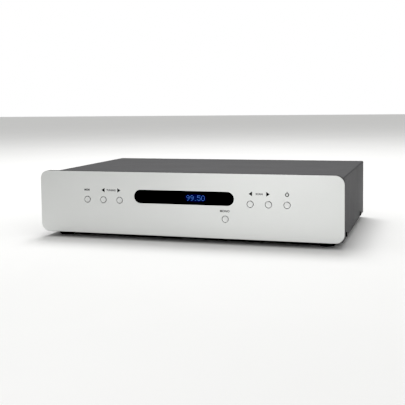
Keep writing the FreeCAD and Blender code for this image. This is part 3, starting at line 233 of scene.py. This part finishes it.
FINISHES = {
    "button_aluminium": dict(colour=(0.66, 0.67, 0.66), second=(0.71, 0.72, 0.71), roughness=0.3, metal=1.0,
                             grain=(5000, 5000, 5000), depth=0.003, patch=60, spread=0.03),
    "display_glass": dict(colour=(0.012, 0.02, 0.024), second=(0.02, 0.03, 0.032), roughness=0.08, coat=0.6,
                          grain=(700, 10, 700), depth=0.001, patch=40, spread=0.03),
    "case_paint": dict(colour=(0.038, 0.038, 0.041), second=(0.047, 0.047, 0.050), roughness=0.6,
                       grain=(1900, 1900, 1900), depth=0.05, patch=14, spread=0.05),
    "zinc_steel": dict(colour=(0.50, 0.51, 0.50), second=(0.62, 0.63, 0.61), roughness=0.36, metal=1.0,
                       grain=(900, 900, 900), depth=0.004, patch=85, spread=0.1),
    "screw_steel": dict(colour=(0.52, 0.52, 0.50), second=(0.66, 0.66, 0.63), roughness=0.3, metal=1.0,
                        grain=(3800, 3800, 3800), depth=0.006, patch=300, spread=0.1),
    "black_screw": dict(colour=(0.006, 0.006, 0.006), second=(0.014, 0.014, 0.014), roughness=0.38,
                        grain=(3200, 3200, 3200), depth=0.01, patch=260, spread=0.08),
    "nickel_plate": dict(colour=(0.64, 0.61, 0.55), second=(0.75, 0.72, 0.66), roughness=0.17, metal=1.0,
                         grain=(2600, 2600, 2600), depth=0.003, patch=190, spread=0.06),
    "tinplate": dict(colour=(0.56, 0.56, 0.54), second=(0.68, 0.68, 0.65), roughness=0.28, metal=1.0,
                     grain=(90, 1500, 90), depth=0.006, patch=120, spread=0.08),
    "switch_plastic": dict(colour=(0.020, 0.020, 0.021), second=(0.032, 0.032, 0.033), roughness=0.5,
                           grain=(2600, 2600, 2600), depth=0.012, patch=150, spread=0.06),
    "socket_plastic": dict(colour=(0.014, 0.014, 0.015), second=(0.024, 0.024, 0.025), roughness=0.46,
                           grain=(2400, 2400, 2400), depth=0.012, patch=130, spread=0.06),
    "inlet_plastic": dict(colour=(0.010, 0.010, 0.010), second=(0.018, 0.018, 0.018), roughness=0.33,
                          grain=(2800, 2800, 2800), depth=0.01, patch=110, spread=0.06),
    "rocker_plastic": dict(colour=(0.012, 0.012, 0.012), second=(0.020, 0.020, 0.020), roughness=0.2,
                           grain=(2000, 2000, 2000), depth=0.004, patch=140, spread=0.05, coat=0.3),
    "white_plastic": dict(colour=(0.66, 0.66, 0.63), second=(0.76, 0.76, 0.72), roughness=0.38,
                          grain=(2200, 2200, 2200), depth=0.008, patch=150, spread=0.05),
    "red_plastic": dict(colour=(0.42, 0.012, 0.012), second=(0.52, 0.02, 0.018), roughness=0.34,
                        grain=(2200, 2200, 2200), depth=0.008, patch=150, spread=0.05),
    "chip_plastic": dict(colour=(0.013, 0.013, 0.014), second=(0.026, 0.026, 0.028), roughness=0.62,
                         grain=(3600, 3600, 3600), depth=0.02, patch=300, spread=0.06),
    "capacitor_sleeve": dict(colour=(0.010, 0.016, 0.05), second=(0.018, 0.028, 0.075), roughness=0.28,
                             grain=(500, 500, 1800), depth=0.01, patch=90, spread=0.07),
    "heatsink_black": dict(colour=(0.018, 0.018, 0.018), second=(0.032, 0.032, 0.033), roughness=0.42,
                           metal=0.6, grain=(2400, 2400, 120), depth=0.012, patch=70, spread=0.06),
    "winding_tape": dict(colour=(0.46, 0.30, 0.03), second=(0.60, 0.42, 0.07), roughness=0.22,
                         grain=(420, 420, 420), depth=0.03, patch=60, spread=0.07, coat=0.5),
    "fuse_glass": dict(colour=(0.62, 0.66, 0.66), second=(0.74, 0.78, 0.78), roughness=0.1,
                       grain=(900, 900, 900), depth=0.002, patch=300, spread=0.04, coat=0.6),
    "lead_insulation": dict(colour=(0.26, 0.018, 0.016), second=(0.36, 0.03, 0.025), roughness=0.42,
                            grain=(1500, 1500, 1500), depth=0.01, patch=90, spread=0.06),
    "ribbon_grey": dict(colour=(0.33, 0.33, 0.35), second=(0.42, 0.42, 0.44), roughness=0.45,
                        grain=(800, 60, 60), depth=0.06, patch=70, spread=0.05),
    "foot_plastic": dict(colour=(0.010, 0.010, 0.010), second=(0.018, 0.018, 0.018), roughness=0.48,
                         grain=(2300, 2300, 2300), depth=0.014, patch=90, spread=0.06),
    "foot_rubber": dict(colour=(0.012, 0.012, 0.012), second=(0.022, 0.022, 0.022), roughness=0.82,
                        grain=(3000, 3000, 3000), depth=0.03, patch=140, spread=0.06, specular=0.3),
}


def panel_finish():
    """Satin aluminium on the face and its bevel; the edges and the walls of the openings carry painted
    shade, a dark colour standing in for the shade in the gaps round the buttons, the window and the case.
    """
    material = grained("front_aluminium", (0.67, 0.68, 0.67), (0.71, 0.72, 0.71), 0.40, metal=1.0,
                       specular=0.05, grain=(260, 5200, 5200), depth=0.004, patch=9, spread=0.02)
    nodes = Nodes(material)
    shader = nodes.tree.nodes["Principled BSDF"]
    depth = nodes.add("SeparateXYZ", {0: nodes.add("TexCoord", out=3)}, out=1)
    change = PANEL_LOW.y + BRIGHT_DEPTH
    painted_shade = nodes.mapped(depth, change - BRIGHT_BLEND / 2, change + BRIGHT_BLEND / 2, 0.0, 1.0)
    bright = shader.inputs["Base Color"].links[0].from_socket
    # Painted shade: past the bevel the colour turns dark and the metal is turned off, darkening the edges
    # and the walls of the openings.
    nodes.join(nodes.mixed(painted_shade, bright, (0.025, 0.025, 0.027)), shader.inputs["Base Color"])
    nodes.join(nodes.math("SUBTRACT", 1.0, painted_shade), shader.inputs["Metallic"])
    return material


def lens_finish():
    """Black acrylic with the display's own faint blue glow behind the lit characters."""
    material = grained("window_acrylic", (0.0006, 0.0006, 0.0007), (0.0009, 0.0009, 0.001), 0.06,
                       specular=0.02, grain=(120, 120, 120), depth=0.002, patch=20, spread=0.01)
    nodes = Nodes(material)
    shader = nodes.tree.nodes["Principled BSDF"]
    place = nodes.add("TexCoord", out=3)
    middle = (PANEL_MIDDLE + GLOW_X, 0, PANEL_LOW.z + CELL_Z)
    reach = nodes.add("VectorMath", {0: place, 1: middle}, operation="SUBTRACT")
    share = (1 / GLOW_HALF_X, 0, 1 / GLOW_HALF_Z)
    reach = nodes.add("VectorMath", {0: reach, 1: share}, operation="MULTIPLY")
    distance = nodes.add("VectorMath", {0: reach}, out=1, operation="LENGTH")
    glow = nodes.math("POWER", nodes.mapped(distance, 0.35, 1.25, 1.0, 0.0), 1.6)
    nodes.join((0.015, 0.024, 0.072, 1), shader.inputs["Emission Color"])
    nodes.join(glow, shader.inputs["Emission Strength"])
    return material


def circuit_board_finish():
    """Green resist over copper: tracks where the lines of three brick patterns cross, raised a little."""
    material = bpy.data.materials.new("circuit_board")
    nodes = Nodes(material)
    shader = nodes.tree.nodes["Principled BSDF"]
    place = nodes.add("TexCoord", out=3)
    tracks = []
    for turn, scale in (((0, 0, 0), 55.0), ((0, 0, math.pi / 2), 47.0), ((math.pi / 2, 0, 0), 51.0)):
        laid = nodes.add("Mapping", {"Vector": place, "Rotation": turn})
        bricks = {"Vector": laid, "Scale": scale, "Mortar Size": 0.035, "Mortar Smooth": 0.0,
                  "Brick Width": 1.7, "Row Height": 0.35}
        tracks.append(nodes.add("TexBrick", bricks, out=1))
    copper = nodes.math("MAXIMUM", nodes.math("MULTIPLY", tracks[0], tracks[1]),
                        nodes.math("MULTIPLY", tracks[1], tracks[2]))
    copper = nodes.math("MAXIMUM", copper, nodes.math("MULTIPLY", tracks[0], 0.75))
    weave = nodes.add("TexNoise", {"Vector": place, "Scale": 900.0, "Detail": 2.0})
    resist = nodes.mixed(weave, (0.010, 0.085, 0.030), (0.020, 0.125, 0.045))
    nodes.join(nodes.mixed(copper, resist, (0.035, 0.21, 0.075)), shader.inputs["Base Color"])
    nodes.join(nodes.mapped(weave, *NOISE_RANGE, 0.24, 0.36), shader.inputs["Roughness"])
    bump = nodes.add("Bump", {"Strength": 1.0, "Distance": 0.05 * MM, "Height": copper})
    nodes.join(bump, shader.inputs["Normal"])
    return material


def turned_finish():
    """Bright aluminium faced on a lathe: grooves follow the distance from the cap's own centre."""
    material = bpy.data.materials.new("turned_aluminium")
    nodes = Nodes(material)
    shader = nodes.tree.nodes["Principled BSDF"]
    across = nodes.add("Attribute", out=2, attribute_name="turning_radius")
    grooves = nodes.add("TexNoise", {"W": across, "Scale": 7000.0, "Detail": 3.0}, noise_dimensions="1D")
    rings = nodes.add("TexNoise", {"W": across, "Scale": 1100.0, "Detail": 2.0}, noise_dimensions="1D")
    nodes.join(nodes.mixed(rings, (0.64, 0.65, 0.64), (0.71, 0.72, 0.71)), shader.inputs["Base Color"])
    nodes.join(nodes.mapped(rings, *NOISE_RANGE, 0.34, 0.42), shader.inputs["Roughness"])
    bump = nodes.add("Bump", {"Strength": 1.0, "Distance": 0.006 * MM, "Height": grooves})
    nodes.join(bump, shader.inputs["Normal"])
    shader.inputs["Metallic"].default_value = 1.0
    return material


def ink_finish(name, colour):
    """Screen-printed ink: a thin film, slightly uneven in tone and sheen."""
    return grained(name, colour, tuple(c * 1.3 + 0.004 for c in colour), 0.55, specular=0.3,
                   grain=(4000, 4000, 4000), depth=0.003, patch=400, spread=0.08)


def lit_finish():
    """Blue-white phosphor, a little uneven in colour."""
    material = bpy.data.materials.new("lit_phosphor")
    nodes = Nodes(material)
    shader = nodes.tree.nodes["Principled BSDF"]
    place = nodes.add("TexCoord", out=3)
    cloud = nodes.add("TexNoise", {"Vector": place, "Scale": 700.0, "Detail": 2.0})
    nodes.join(nodes.mixed(cloud, (0.05, 0.13, 0.52), (0.08, 0.19, 0.66)), shader.inputs["Emission Color"])
    nodes.join(nodes.mixed(cloud, (0.01, 0.02, 0.05), (0.02, 0.03, 0.07)), shader.inputs["Base Color"])
    shader.inputs["Emission Strength"].default_value = 1.0
    shader.inputs["Roughness"].default_value = 0.4
    return material


# ------------------------------------------------------------------ shaping helpers

def make_piece(name, points, faces, material, body, slot=None, replaces=(), smooth=True):
    """One mesh object at the origin from its points (n x 3, metres) and its faces."""
    mesh = bpy.data.meshes.new(name)
    mesh.from_pydata(np.asarray(points, float).tolist(), [], [list(map(int, face)) for face in faces])
    mesh.validate()
    if smooth:
        mesh.shade_smooth()
        mesh.set_sharp_from_angle(angle=SHARP)
    mesh.materials.append(material)
    piece = bpy.data.objects.new(name, mesh)
    SCENE.collection.objects.link(piece)
    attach(piece, body)
    if replaces:
        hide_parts(*replaces)
    return piece


def round_grid(rows, columns):
    """Quads of a grid of rows x columns points, with its last column joined to its first."""
    i = np.arange(rows - 1)[:, None]
    j = np.arange(columns)[None, :]
    below, across = i + 1, (j + 1) % columns
    near, far = i * columns, below * columns
    quads = np.stack([near + j, near + across, far + across, far + j], -1)
    return quads.reshape(-1, 4).tolist()


def turned(profile, centre, steps):
    """Profile points (radius, depth) carried round the Y axis through centre.

    Each point of radius r at angle a stands at centre + (r cos a, depth, r sin a); a profile
    that starts or ends on the axis is closed there with a fan of triangles.
    """
    profile = np.asarray(profile, float)
    rim = profile[profile[:, 0] > ON_AXIS]
    angle = np.linspace(0, FULL_TURN, steps, endpoint=False)
    x = centre[0] + rim[:, :1] * np.cos(angle)
    z = centre[2] + rim[:, :1] * np.sin(angle)
    y = centre[1] + np.repeat(rim[:, 1:], steps, axis=1)
    points = np.stack([x, y, z], -1).reshape(-1, 3)
    faces = [face[::-1] for face in round_grid(len(rim), steps)]
    ends = [(profile[0], 0, -1), (profile[-1], (len(rim) - 1) * steps, 1)]
    for (radius, depth), first, way in ends:
        if radius > ON_AXIS:
            continue
        pole = len(points)
        points = np.vstack([points, [[centre[0], centre[1] + depth, centre[2]]]])
        ring = np.arange(steps)
        fan = np.stack([first + ring, first + (ring + 1) % steps, np.full(steps, pole)], -1)
        faces += fan[:, ::way].tolist()
    return points, faces


def rounded_step(radius, depth, edge, count=5):
    """Quarter-round corner of a profile: from (radius - edge, depth) to (radius, depth + edge)."""
    a = np.linspace(0, math.pi / 2, count)
    return np.stack([radius - edge + edge * np.sin(a), depth + edge - edge * np.cos(a)], -1)


# ------------------------------------------------------------------ front panel pieces

CAP_RADIUS, CAP_EDGE, CAP_DISH = 4.1 * MM, 0.3 * MM, 0.12 * MM
CAP_SHOULDER, CAP_FLANGE, STEM_RADIUS = 5.0 * MM, 1.5 * MM, 2.5 * MM
CAP_STEPS, FACE_RINGS = 96, 22
BUTTONS = ("memory", "tuning_down", "tuning_up", "mono", "scan_down", "scan_up", "power")


def cap_profile(flange_radius, length):
    """From the middle of the face: a shallow dish d (r / R)^2, the rounded rim, wall, flange and stem."""
    inner = CAP_RADIUS - CAP_EDGE
    radius = np.linspace(0, inner, FACE_RINGS)
    face = np.stack([radius, CAP_DISH * (1 - (radius / inner) ** 2)], -1)
    painted_shade = CAP_SHOULDER + CAP_FLANGE
    back = [(CAP_RADIUS, CAP_SHOULDER), (flange_radius, CAP_SHOULDER), (flange_radius, painted_shade),
            (STEM_RADIUS, painted_shade), (STEM_RADIUS, length), (0, length)]
    return np.vstack([face, rounded_step(CAP_RADIUS, 0, CAP_EDGE)[1:], back])


def make_caps(material):
    """Seven turned caps with a dished face, each riding its own button."""
    for button in BUTTONS:
        node = "button_" + button
        low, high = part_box(node)
        middle = (low + high) / 2
        centre = (middle.x, low.y, middle.z)
        points, faces = turned(cap_profile((high.x - low.x) / 2, high.y - low.y), centre, CAP_STEPS)
        piece = make_piece("cap_" + button, points, faces, material, node, "button_aluminium", (node,))
        radius = np.hypot(points[:, 0] - centre[0], points[:, 2] - centre[2])
        turning = piece.data.attributes.new("turning_radius", "FLOAT", "POINT")
        turning.data.foreach_set("value", radius.astype(np.float32))


INK_THICK = 0.03 * MM
ROW_MARKS, MONO_MARK = 62.5 * MM, 38.1 * MM
TRIANGLE_LONG, TRIANGLE_TALL = 4.8 * MM, 6.3 * MM
LETTERING = (
    ("MEM", -145.5, ROW_MARKS, 2.8), ("TUNING", -107.9, ROW_MARKS, 2.5),
    ("SCAN", 107.3, ROW_MARKS, 2.5), ("MONO", 59.6, MONO_MARK, 2.9),
)
ARROWS = ((-120.3, -1), (-95.8, 1), (95.3, -1), (119.4, 1))
POWER_MARK_X, POWER_RING, POWER_STROKE = 145 * MM, 2.15 * MM, 1.15 * MM
POWER_HALF_GAP, POWER_BAR_LOW, POWER_BAR_HIGH = math.radians(28), 0.8 * MM, 3.9 * MM
# How far the ink spreads past a letter's edge, a capital's share of its size, and the spacing.
INK_SPREAD, CAPITAL_SHARE, LETTER_SPACING = 0.12 * MM, 0.70, 1.06


def upright(points, x, y, z):
    """Flat points (x, y) stood up to face the front: their y runs up, their normal to -Y."""
    flat = np.asarray(points, float)
    return np.stack([x + flat[:, 0], y - flat[:, 2], z + flat[:, 1]], -1)


def lettered(text, cap_height, thick):
    """A word in the plain built-in face as flat points centred on zero, with its faces."""
    curve = bpy.data.curves.new("word", "FONT")
    curve.body, curve.align_x, curve.align_y = text, "CENTER", "CENTER"
    curve.size, curve.extrude = cap_height / CAPITAL_SHARE, thick / 2
    curve.space_character, curve.offset = LETTER_SPACING, INK_SPREAD
    word = bpy.data.objects.new("word", curve)
    SCENE.collection.objects.link(word)
    bpy.context.view_layer.update()
    mesh = bpy.data.meshes.new_from_object(word.evaluated_get(bpy.context.evaluated_depsgraph_get()))
    points = np.zeros(len(mesh.vertices) * 3, np.float32)
    mesh.vertices.foreach_get("co", points)
    points = points.reshape(-1, 3).astype(float)
    points[:, :2] -= (points[:, :2].max(0) + points[:, :2].min(0)) / 2
    faces = [list(face.vertices) for face in mesh.polygons]
    for owner, block in ((bpy.data.objects, word), (bpy.data.curves, curve), (bpy.data.meshes, mesh)):
        owner.remove(block)
    return points, faces


def prism(outline, thick):
    """A flat outline (anticlockwise, n x 2) given a thickness about its own plane."""
    outline = np.asarray(outline, float)
    count = len(outline)
    low = np.column_stack([outline, np.full(count, -thick / 2)])
    points = np.vstack([low, low + (0, 0, thick)])
    sides = [(i, (i + 1) % count, (i + 1) % count + count, i + count) for i in range(count)]
    return points, [tuple(range(count - 1, -1, -1)), tuple(range(count, 2 * count)), *sides]


def arc_band(radius, stroke, start, end, thick, steps=40):
    """A flat ring of the given stroke and thickness, from its start angle to its end, capped there.

    At angle a its four corners are r (cos a, sin a) at the two radii, each at plus and minus half
    the thickness.
    """
    angle = np.linspace(start, end, steps)
    ring = np.stack([np.cos(angle), np.sin(angle)], -1)
    inner, outer, half = radius - stroke / 2, radius + stroke / 2, thick / 2
    corners = ((inner, -half), (outer, -half), (outer, half), (inner, half))
    points = np.stack([np.column_stack([ring * r, np.full(steps, z)]) for r, z in corners], 1)
    faces = round_grid(steps, 4)
    faces += [(0, 1, 2, 3), tuple(4 * (steps - 1) + k for k in (3, 2, 1, 0))]
    return points.reshape(-1, 3), faces


def gathered(parts):
    """Several (points, faces) made one."""
    start, points, faces = 0, [], []
    for part_points, part_faces in parts:
        points.append(part_points)
        faces += [[int(i) + start for i in face] for face in part_faces]
        start += len(part_points)
    return np.vstack(points), faces


def make_panel_marks(dark, pale):
    """Printed words, arrows and the power sign, a film thick on the panel's face."""
    face, foot = PANEL_LOW.y - INK_THICK / 2, PANEL_LOW.z
    words = []
    for text, x, z, tall in LETTERING:
        points, faces = lettered(text, tall * MM, INK_THICK)
        words.append((upright(points, PANEL_MIDDLE + x * MM, face, foot + z), faces))
    signs = []
    for x, way in ARROWS:
        tip, back = way * TRIANGLE_LONG / 2, -way * TRIANGLE_LONG / 2
        outline = [(back, -way * TRIANGLE_TALL / 2), (tip, 0), (back, way * TRIANGLE_TALL / 2)]
        points, faces = prism(outline, INK_THICK)
        signs.append((upright(points, PANEL_MIDDLE + x * MM, face, foot + ROW_MARKS), faces))
    start, end = FULL_TURN / 4 + POWER_HALF_GAP, FULL_TURN * 5 / 4 - POWER_HALF_GAP
    points, faces = arc_band(POWER_RING, POWER_STROKE, start, end, INK_THICK)
    power = [(upright(points, PANEL_MIDDLE + POWER_MARK_X, face, foot + ROW_MARKS), faces)]
    half = POWER_STROKE / 2
    bar = [(-half, POWER_BAR_LOW), (half, POWER_BAR_LOW), (half, POWER_BAR_HIGH), (-half, POWER_BAR_HIGH)]
    points, faces = prism(bar, INK_THICK)
    power.append((upright(points, PANEL_MIDDLE + POWER_MARK_X, face, foot + ROW_MARKS), faces))
    make_piece("panel_words", *gathered(words), pale, "case", smooth=False)
    make_piece("panel_arrows", *gathered(signs), dark, "case", smooth=False)
    make_piece("power_sign", *gathered(power), dark, "case", smooth=False)


CHARACTERS = {
    "9": ("01110", "10001", "10001", "01111", "00001", "00010", "01100"),
    ".": ("00000", "00000", "00000", "00000", "00000", "00000", "00100"),
    "5": ("11111", "10000", "11110", "00001", "00001", "10001", "01110"),
    "0": ("01110", "10001", "10001", "10001", "10001", "10001", "01110"),
}
READOUT = (("9", 0.0), ("9", 1.0), (".", 1.85), ("5", 2.7), ("0", 3.7))
DOT_PITCH_X, DOT_PITCH_Z, DOT_WIDE, DOT_TALL = 0.96 * MM, 1.1 * MM, 0.70 * MM, 0.82 * MM
MIDDLE_COLUMN, MIDDLE_ROW = 2, 3


def make_readout(material):
    """Lit characters in cells of 5 x 7 dots, each dot a thin tile on the lens.

    A tile's eight corners are its centre plus and minus half its width and height, on the lens's
    face and a film before it.
    """
    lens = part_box("display_window")[0]
    centres = []
    for letter, place in READOUT:
        dots = np.array([[dot == "1" for dot in row] for row in CHARACTERS[letter]])
        row, column = np.nonzero(dots)
        x = PANEL_MIDDLE + CELL_FIRST_X + place * CELL_PITCH + (column - MIDDLE_COLUMN) * DOT_PITCH_X
        z = PANEL_LOW.z + CELL_Z + (MIDDLE_ROW - row) * DOT_PITCH_Z
        centres.append(np.stack([x, z], -1))
    centres = np.vstack(centres)
    thick = 2 * INK_THICK
    square = ((-1, -1), (1, -1), (1, 1), (-1, 1))
    corners = np.array([(x, y, z) for y in (0, thick) for x, z in square], float)
    corners *= (DOT_WIDE / 2, 1, DOT_TALL / 2)
    points = centres[:, None, :][..., [0, 0, 1]] * (1, 0, 1) + corners + (0, lens.y - thick, 0)
    tile = np.array([(0, 1, 2, 3), (7, 6, 5, 4), (0, 4, 5, 1), (1, 5, 6, 2), (2, 6, 7, 3), (3, 7, 4, 0)])
    faces = (tile[None] + 8 * np.arange(len(centres))[:, None, None]).reshape(-1, 4)
    make_piece("readout", points.reshape(-1, 3), faces.tolist(), material, "case", smooth=False)


# ------------------------------------------------------------------ rear and rocker pieces

REAR_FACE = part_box("rear_panel")[1].y
REAR_LETTERS, SMALL_LETTERS, RULE_WIDE = 3.0, 2.3, 0.35 * MM
# Heights of the names above their fitting's middle, and of a second line below the first.
NAME_RISE, LETTER_RISE, SECOND_LINE = 17 * MM, 9.5 * MM, 5.2 * MM
BOX_TALL, BOX_RISE, AUDIO_BOX, AERIAL_BOX = 34 * MM, 5.5 * MM, 50 * MM, 34 * MM


def facing_back(points, x, y, z):
    """Flat points stood up to be read from behind: their x runs to -X, their normal to +Y."""
    flat = np.asarray(points, float)
    return np.stack([x - flat[:, 0], y + flat[:, 2], z + flat[:, 1]], -1)


def middle_of(node):
    """The middle of a CAD node's box at rest."""
    low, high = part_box(node)
    return (low + high) / 2


def ruled(width, height):
    """A printed rectangle: four thin bars round a width by height."""
    half_x, half_z = width / 2, height / 2
    bars = []
    for sign in (-1, 1):
        for reach, side, across in ((half_x, half_z, False), (half_z, half_x, True)):
            low, high = sign * side - RULE_WIDE / 2, sign * side + RULE_WIDE / 2
            corners = [(-reach, low), (reach, low), (reach, high), (-reach, high)]
            if across:
                corners = [(-y, x) for x, y in corners]
            bars.append(prism(corners, INK_THICK))
    return gathered(bars)


def make_rear_marks(pale):
    """Printed names beside the sockets, the inlet and the switch, with ruled boxes round two groups."""
    left, right = middle_of("audio_insert_left"), middle_of("audio_insert_right")
    aerial, inlet, switch = middle_of("aerial_socket"), middle_of("mains_inlet"), middle_of("rocker_housing")
    between, top = (left.x + right.x) / 2, left.z + NAME_RISE
    above = inlet.z + NAME_RISE
    words = (
        ("L", left.x, left.z + LETTER_RISE, REAR_LETTERS),
        ("R", right.x, right.z + LETTER_RISE, REAR_LETTERS),
        ("AUDIO OUTPUT", between, top, REAR_LETTERS), ("FM AERIAL", aerial.x, top, REAR_LETTERS),
        ("75 OHM", aerial.x, top - SECOND_LINE, SMALL_LETTERS), ("AC IN", inlet.x, above, REAR_LETTERS),
        ("MAINS", switch.x, above, REAR_LETTERS),
    )
    face, printed = REAR_FACE + INK_THICK / 2, []
    for text, x, z, tall in words:
        points, faces = lettered(text, tall * MM, INK_THICK)
        printed.append((facing_back(points, x, face, z), faces))
    for x, width in ((between, AUDIO_BOX), (aerial.x, AERIAL_BOX)):
        points, faces = ruled(width, BOX_TALL)
        printed.append((facing_back(points, x, face, left.z + BOX_RISE), faces))
    make_piece("rear_words", *gathered(printed), pale, "case", smooth=False)


THREAD_ROOT, THREAD_CREST, THREAD_PITCH = 4.6 * MM, 4.88 * MM, 0.8 * MM
THREAD_START, THREAD_END, THREAD_STEPS, THREAD_SHARE = 3.2 * MM, 0.9 * MM, 64, 0.46


def make_aerial_thread(material):
    """Helical ridge: at angle a its crest stands at radius r and depth start + pitch a / (2 pi)."""
    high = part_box("aerial_socket")[1]
    centre = middle_of("aerial_socket")
    start, end = REAR_FACE + THREAD_START, high.y - THREAD_END
    turns = (end - start) / THREAD_PITCH
    angle = np.linspace(0, FULL_TURN * turns, int(turns * THREAD_STEPS))
    half = THREAD_PITCH * THREAD_SHARE
    radius = np.array([THREAD_ROOT, THREAD_CREST, THREAD_ROOT])
    shift = np.array([-half, 0, half])
    y = start + THREAD_PITCH * angle[:, None] / FULL_TURN + shift
    x = centre.x + radius * np.cos(angle)[:, None]
    z = centre.z + radius * np.sin(angle)[:, None]
    points = np.stack([x, y, z], -1).reshape(-1, 3)
    faces = round_grid(len(angle), 3)
    last = 3 * (len(angle) - 1)
    faces += [(0, 1, 2), (last + 2, last + 1, last)]
    make_piece("aerial_thread", points, faces, material, "case")


ROCKER_TILT, ROCKER_PIVOT_SET = math.radians(10), 3.2 * MM
ROCKER_HOLLOW, ROCKER_RISE, ROCKER_REACH = 3.0 * MM, 1.8 * MM, 8.3 * MM
ROCKER_SLOPE = math.atan2(ROCKER_RISE, ROCKER_REACH)
MARK_REACH, MARK_LONG, MARK_WIDE = 5.0 * MM, 3.4 * MM, 0.7 * MM
# A ring that ends this near to its start reads as whole, and keeps its two ends apart.
WHOLE_RING = FULL_TURN * 0.9999


def make_rocker_marks(pale):
    """The on and off signs, laid on the two sloping halves of the paddle and tipped with it."""
    low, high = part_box("rocker_housing")
    pivot = Vector(((low.x + high.x) / 2, high.y - ROCKER_PIVOT_SET, (low.z + high.z) / 2))
    tip = Matrix.Rotation(ROCKER_TILT, 3, "X")
    half, end = MARK_WIDE / 2, MARK_LONG / 2
    bar = prism([(-half, -end), (half, -end), (half, end), (-half, end)], INK_THICK)
    ring = arc_band(end, MARK_WIDE, 0, WHOLE_RING, INK_THICK)
    parts = []
    for way, (points, faces) in ((1, bar), (-1, ring)):
        slope = np.array(tip @ Matrix.Rotation(-way * ROCKER_SLOPE, 3, "X"))
        rise = ROCKER_HOLLOW + MARK_REACH * math.tan(ROCKER_SLOPE) + INK_THICK / 2
        seat = np.array(pivot) + np.array(tip @ Vector((0, rise, way * MARK_REACH)))
        parts.append((facing_back(points, 0, 0, 0) @ slope.T + seat, faces))
    make_piece("rocker_marks", *gathered(parts), pale, "rocker", smooth=False)


# ------------------------------------------------------------------ putting it together

def finish_frame():
    """Every CAD solid gets the finish of its own material slot, in place of the imported one."""
    imported = {material.name: material for material in bpy.data.materials}
    for name, material in imported.items():
        material.name = "cad_" + name
    made = {name: grained(name, **given) for name, given in FINISHES.items()}
    made["circuit_board"] = circuit_board_finish()
    made["front_aluminium"] = panel_finish()
    made["window_acrylic"] = lens_finish()
    for node in frame["nodes"].values():
        for held in node.material_slots:
            held.material = made[held.material.name.removeprefix("cad_")]
    for material in imported.values():
        bpy.data.materials.remove(material)


def make_floor():
    """A wide pale floor just under the feet."""
    half, level = 8.0, -0.05 * MM
    corners = [(-half, -half, level), (half, -half, level), (half, half, level), (-half, half, level)]
    mesh = bpy.data.meshes.new("floor")
    mesh.from_pydata(corners, [], [(0, 1, 2, 3)])
    mesh.materials.append(grained("floor_paper", (0.90, 0.90, 0.895), (0.92, 0.92, 0.915), 0.8, specular=0.1,
                                  grain=(400, 400, 400), depth=0.01, patch=3))
    floor = bpy.data.objects.new("floor", mesh)
    SCENE.collection.objects.link(floor)


set_camera()
set_studio()
set_softbox("key", place=(-0.3, 0.9, 2.2), aim=(0.0, -0.05, 0.0), size=1.2, watts=35.0)
set_softbox("front_fill", place=(-0.10, -1.25, 0.18), aim=(0.08, -0.147, 0.02), size=0.4, watts=0.75)
finish_frame()
make_floor()
make_caps(turned_finish())
make_panel_marks(ink_finish("black_ink", (0.004, 0.004, 0.004)), ink_finish("grey_ink", (0.02, 0.02, 0.021)))
make_readout(lit_finish())
make_rear_marks(ink_finish("white_ink", (0.55, 0.55, 0.54)))
make_aerial_thread(grained("thread_plate", **FINISHES["nickel_plate"]))
make_rocker_marks(ink_finish("rocker_ink", (0.60, 0.60, 0.59)))
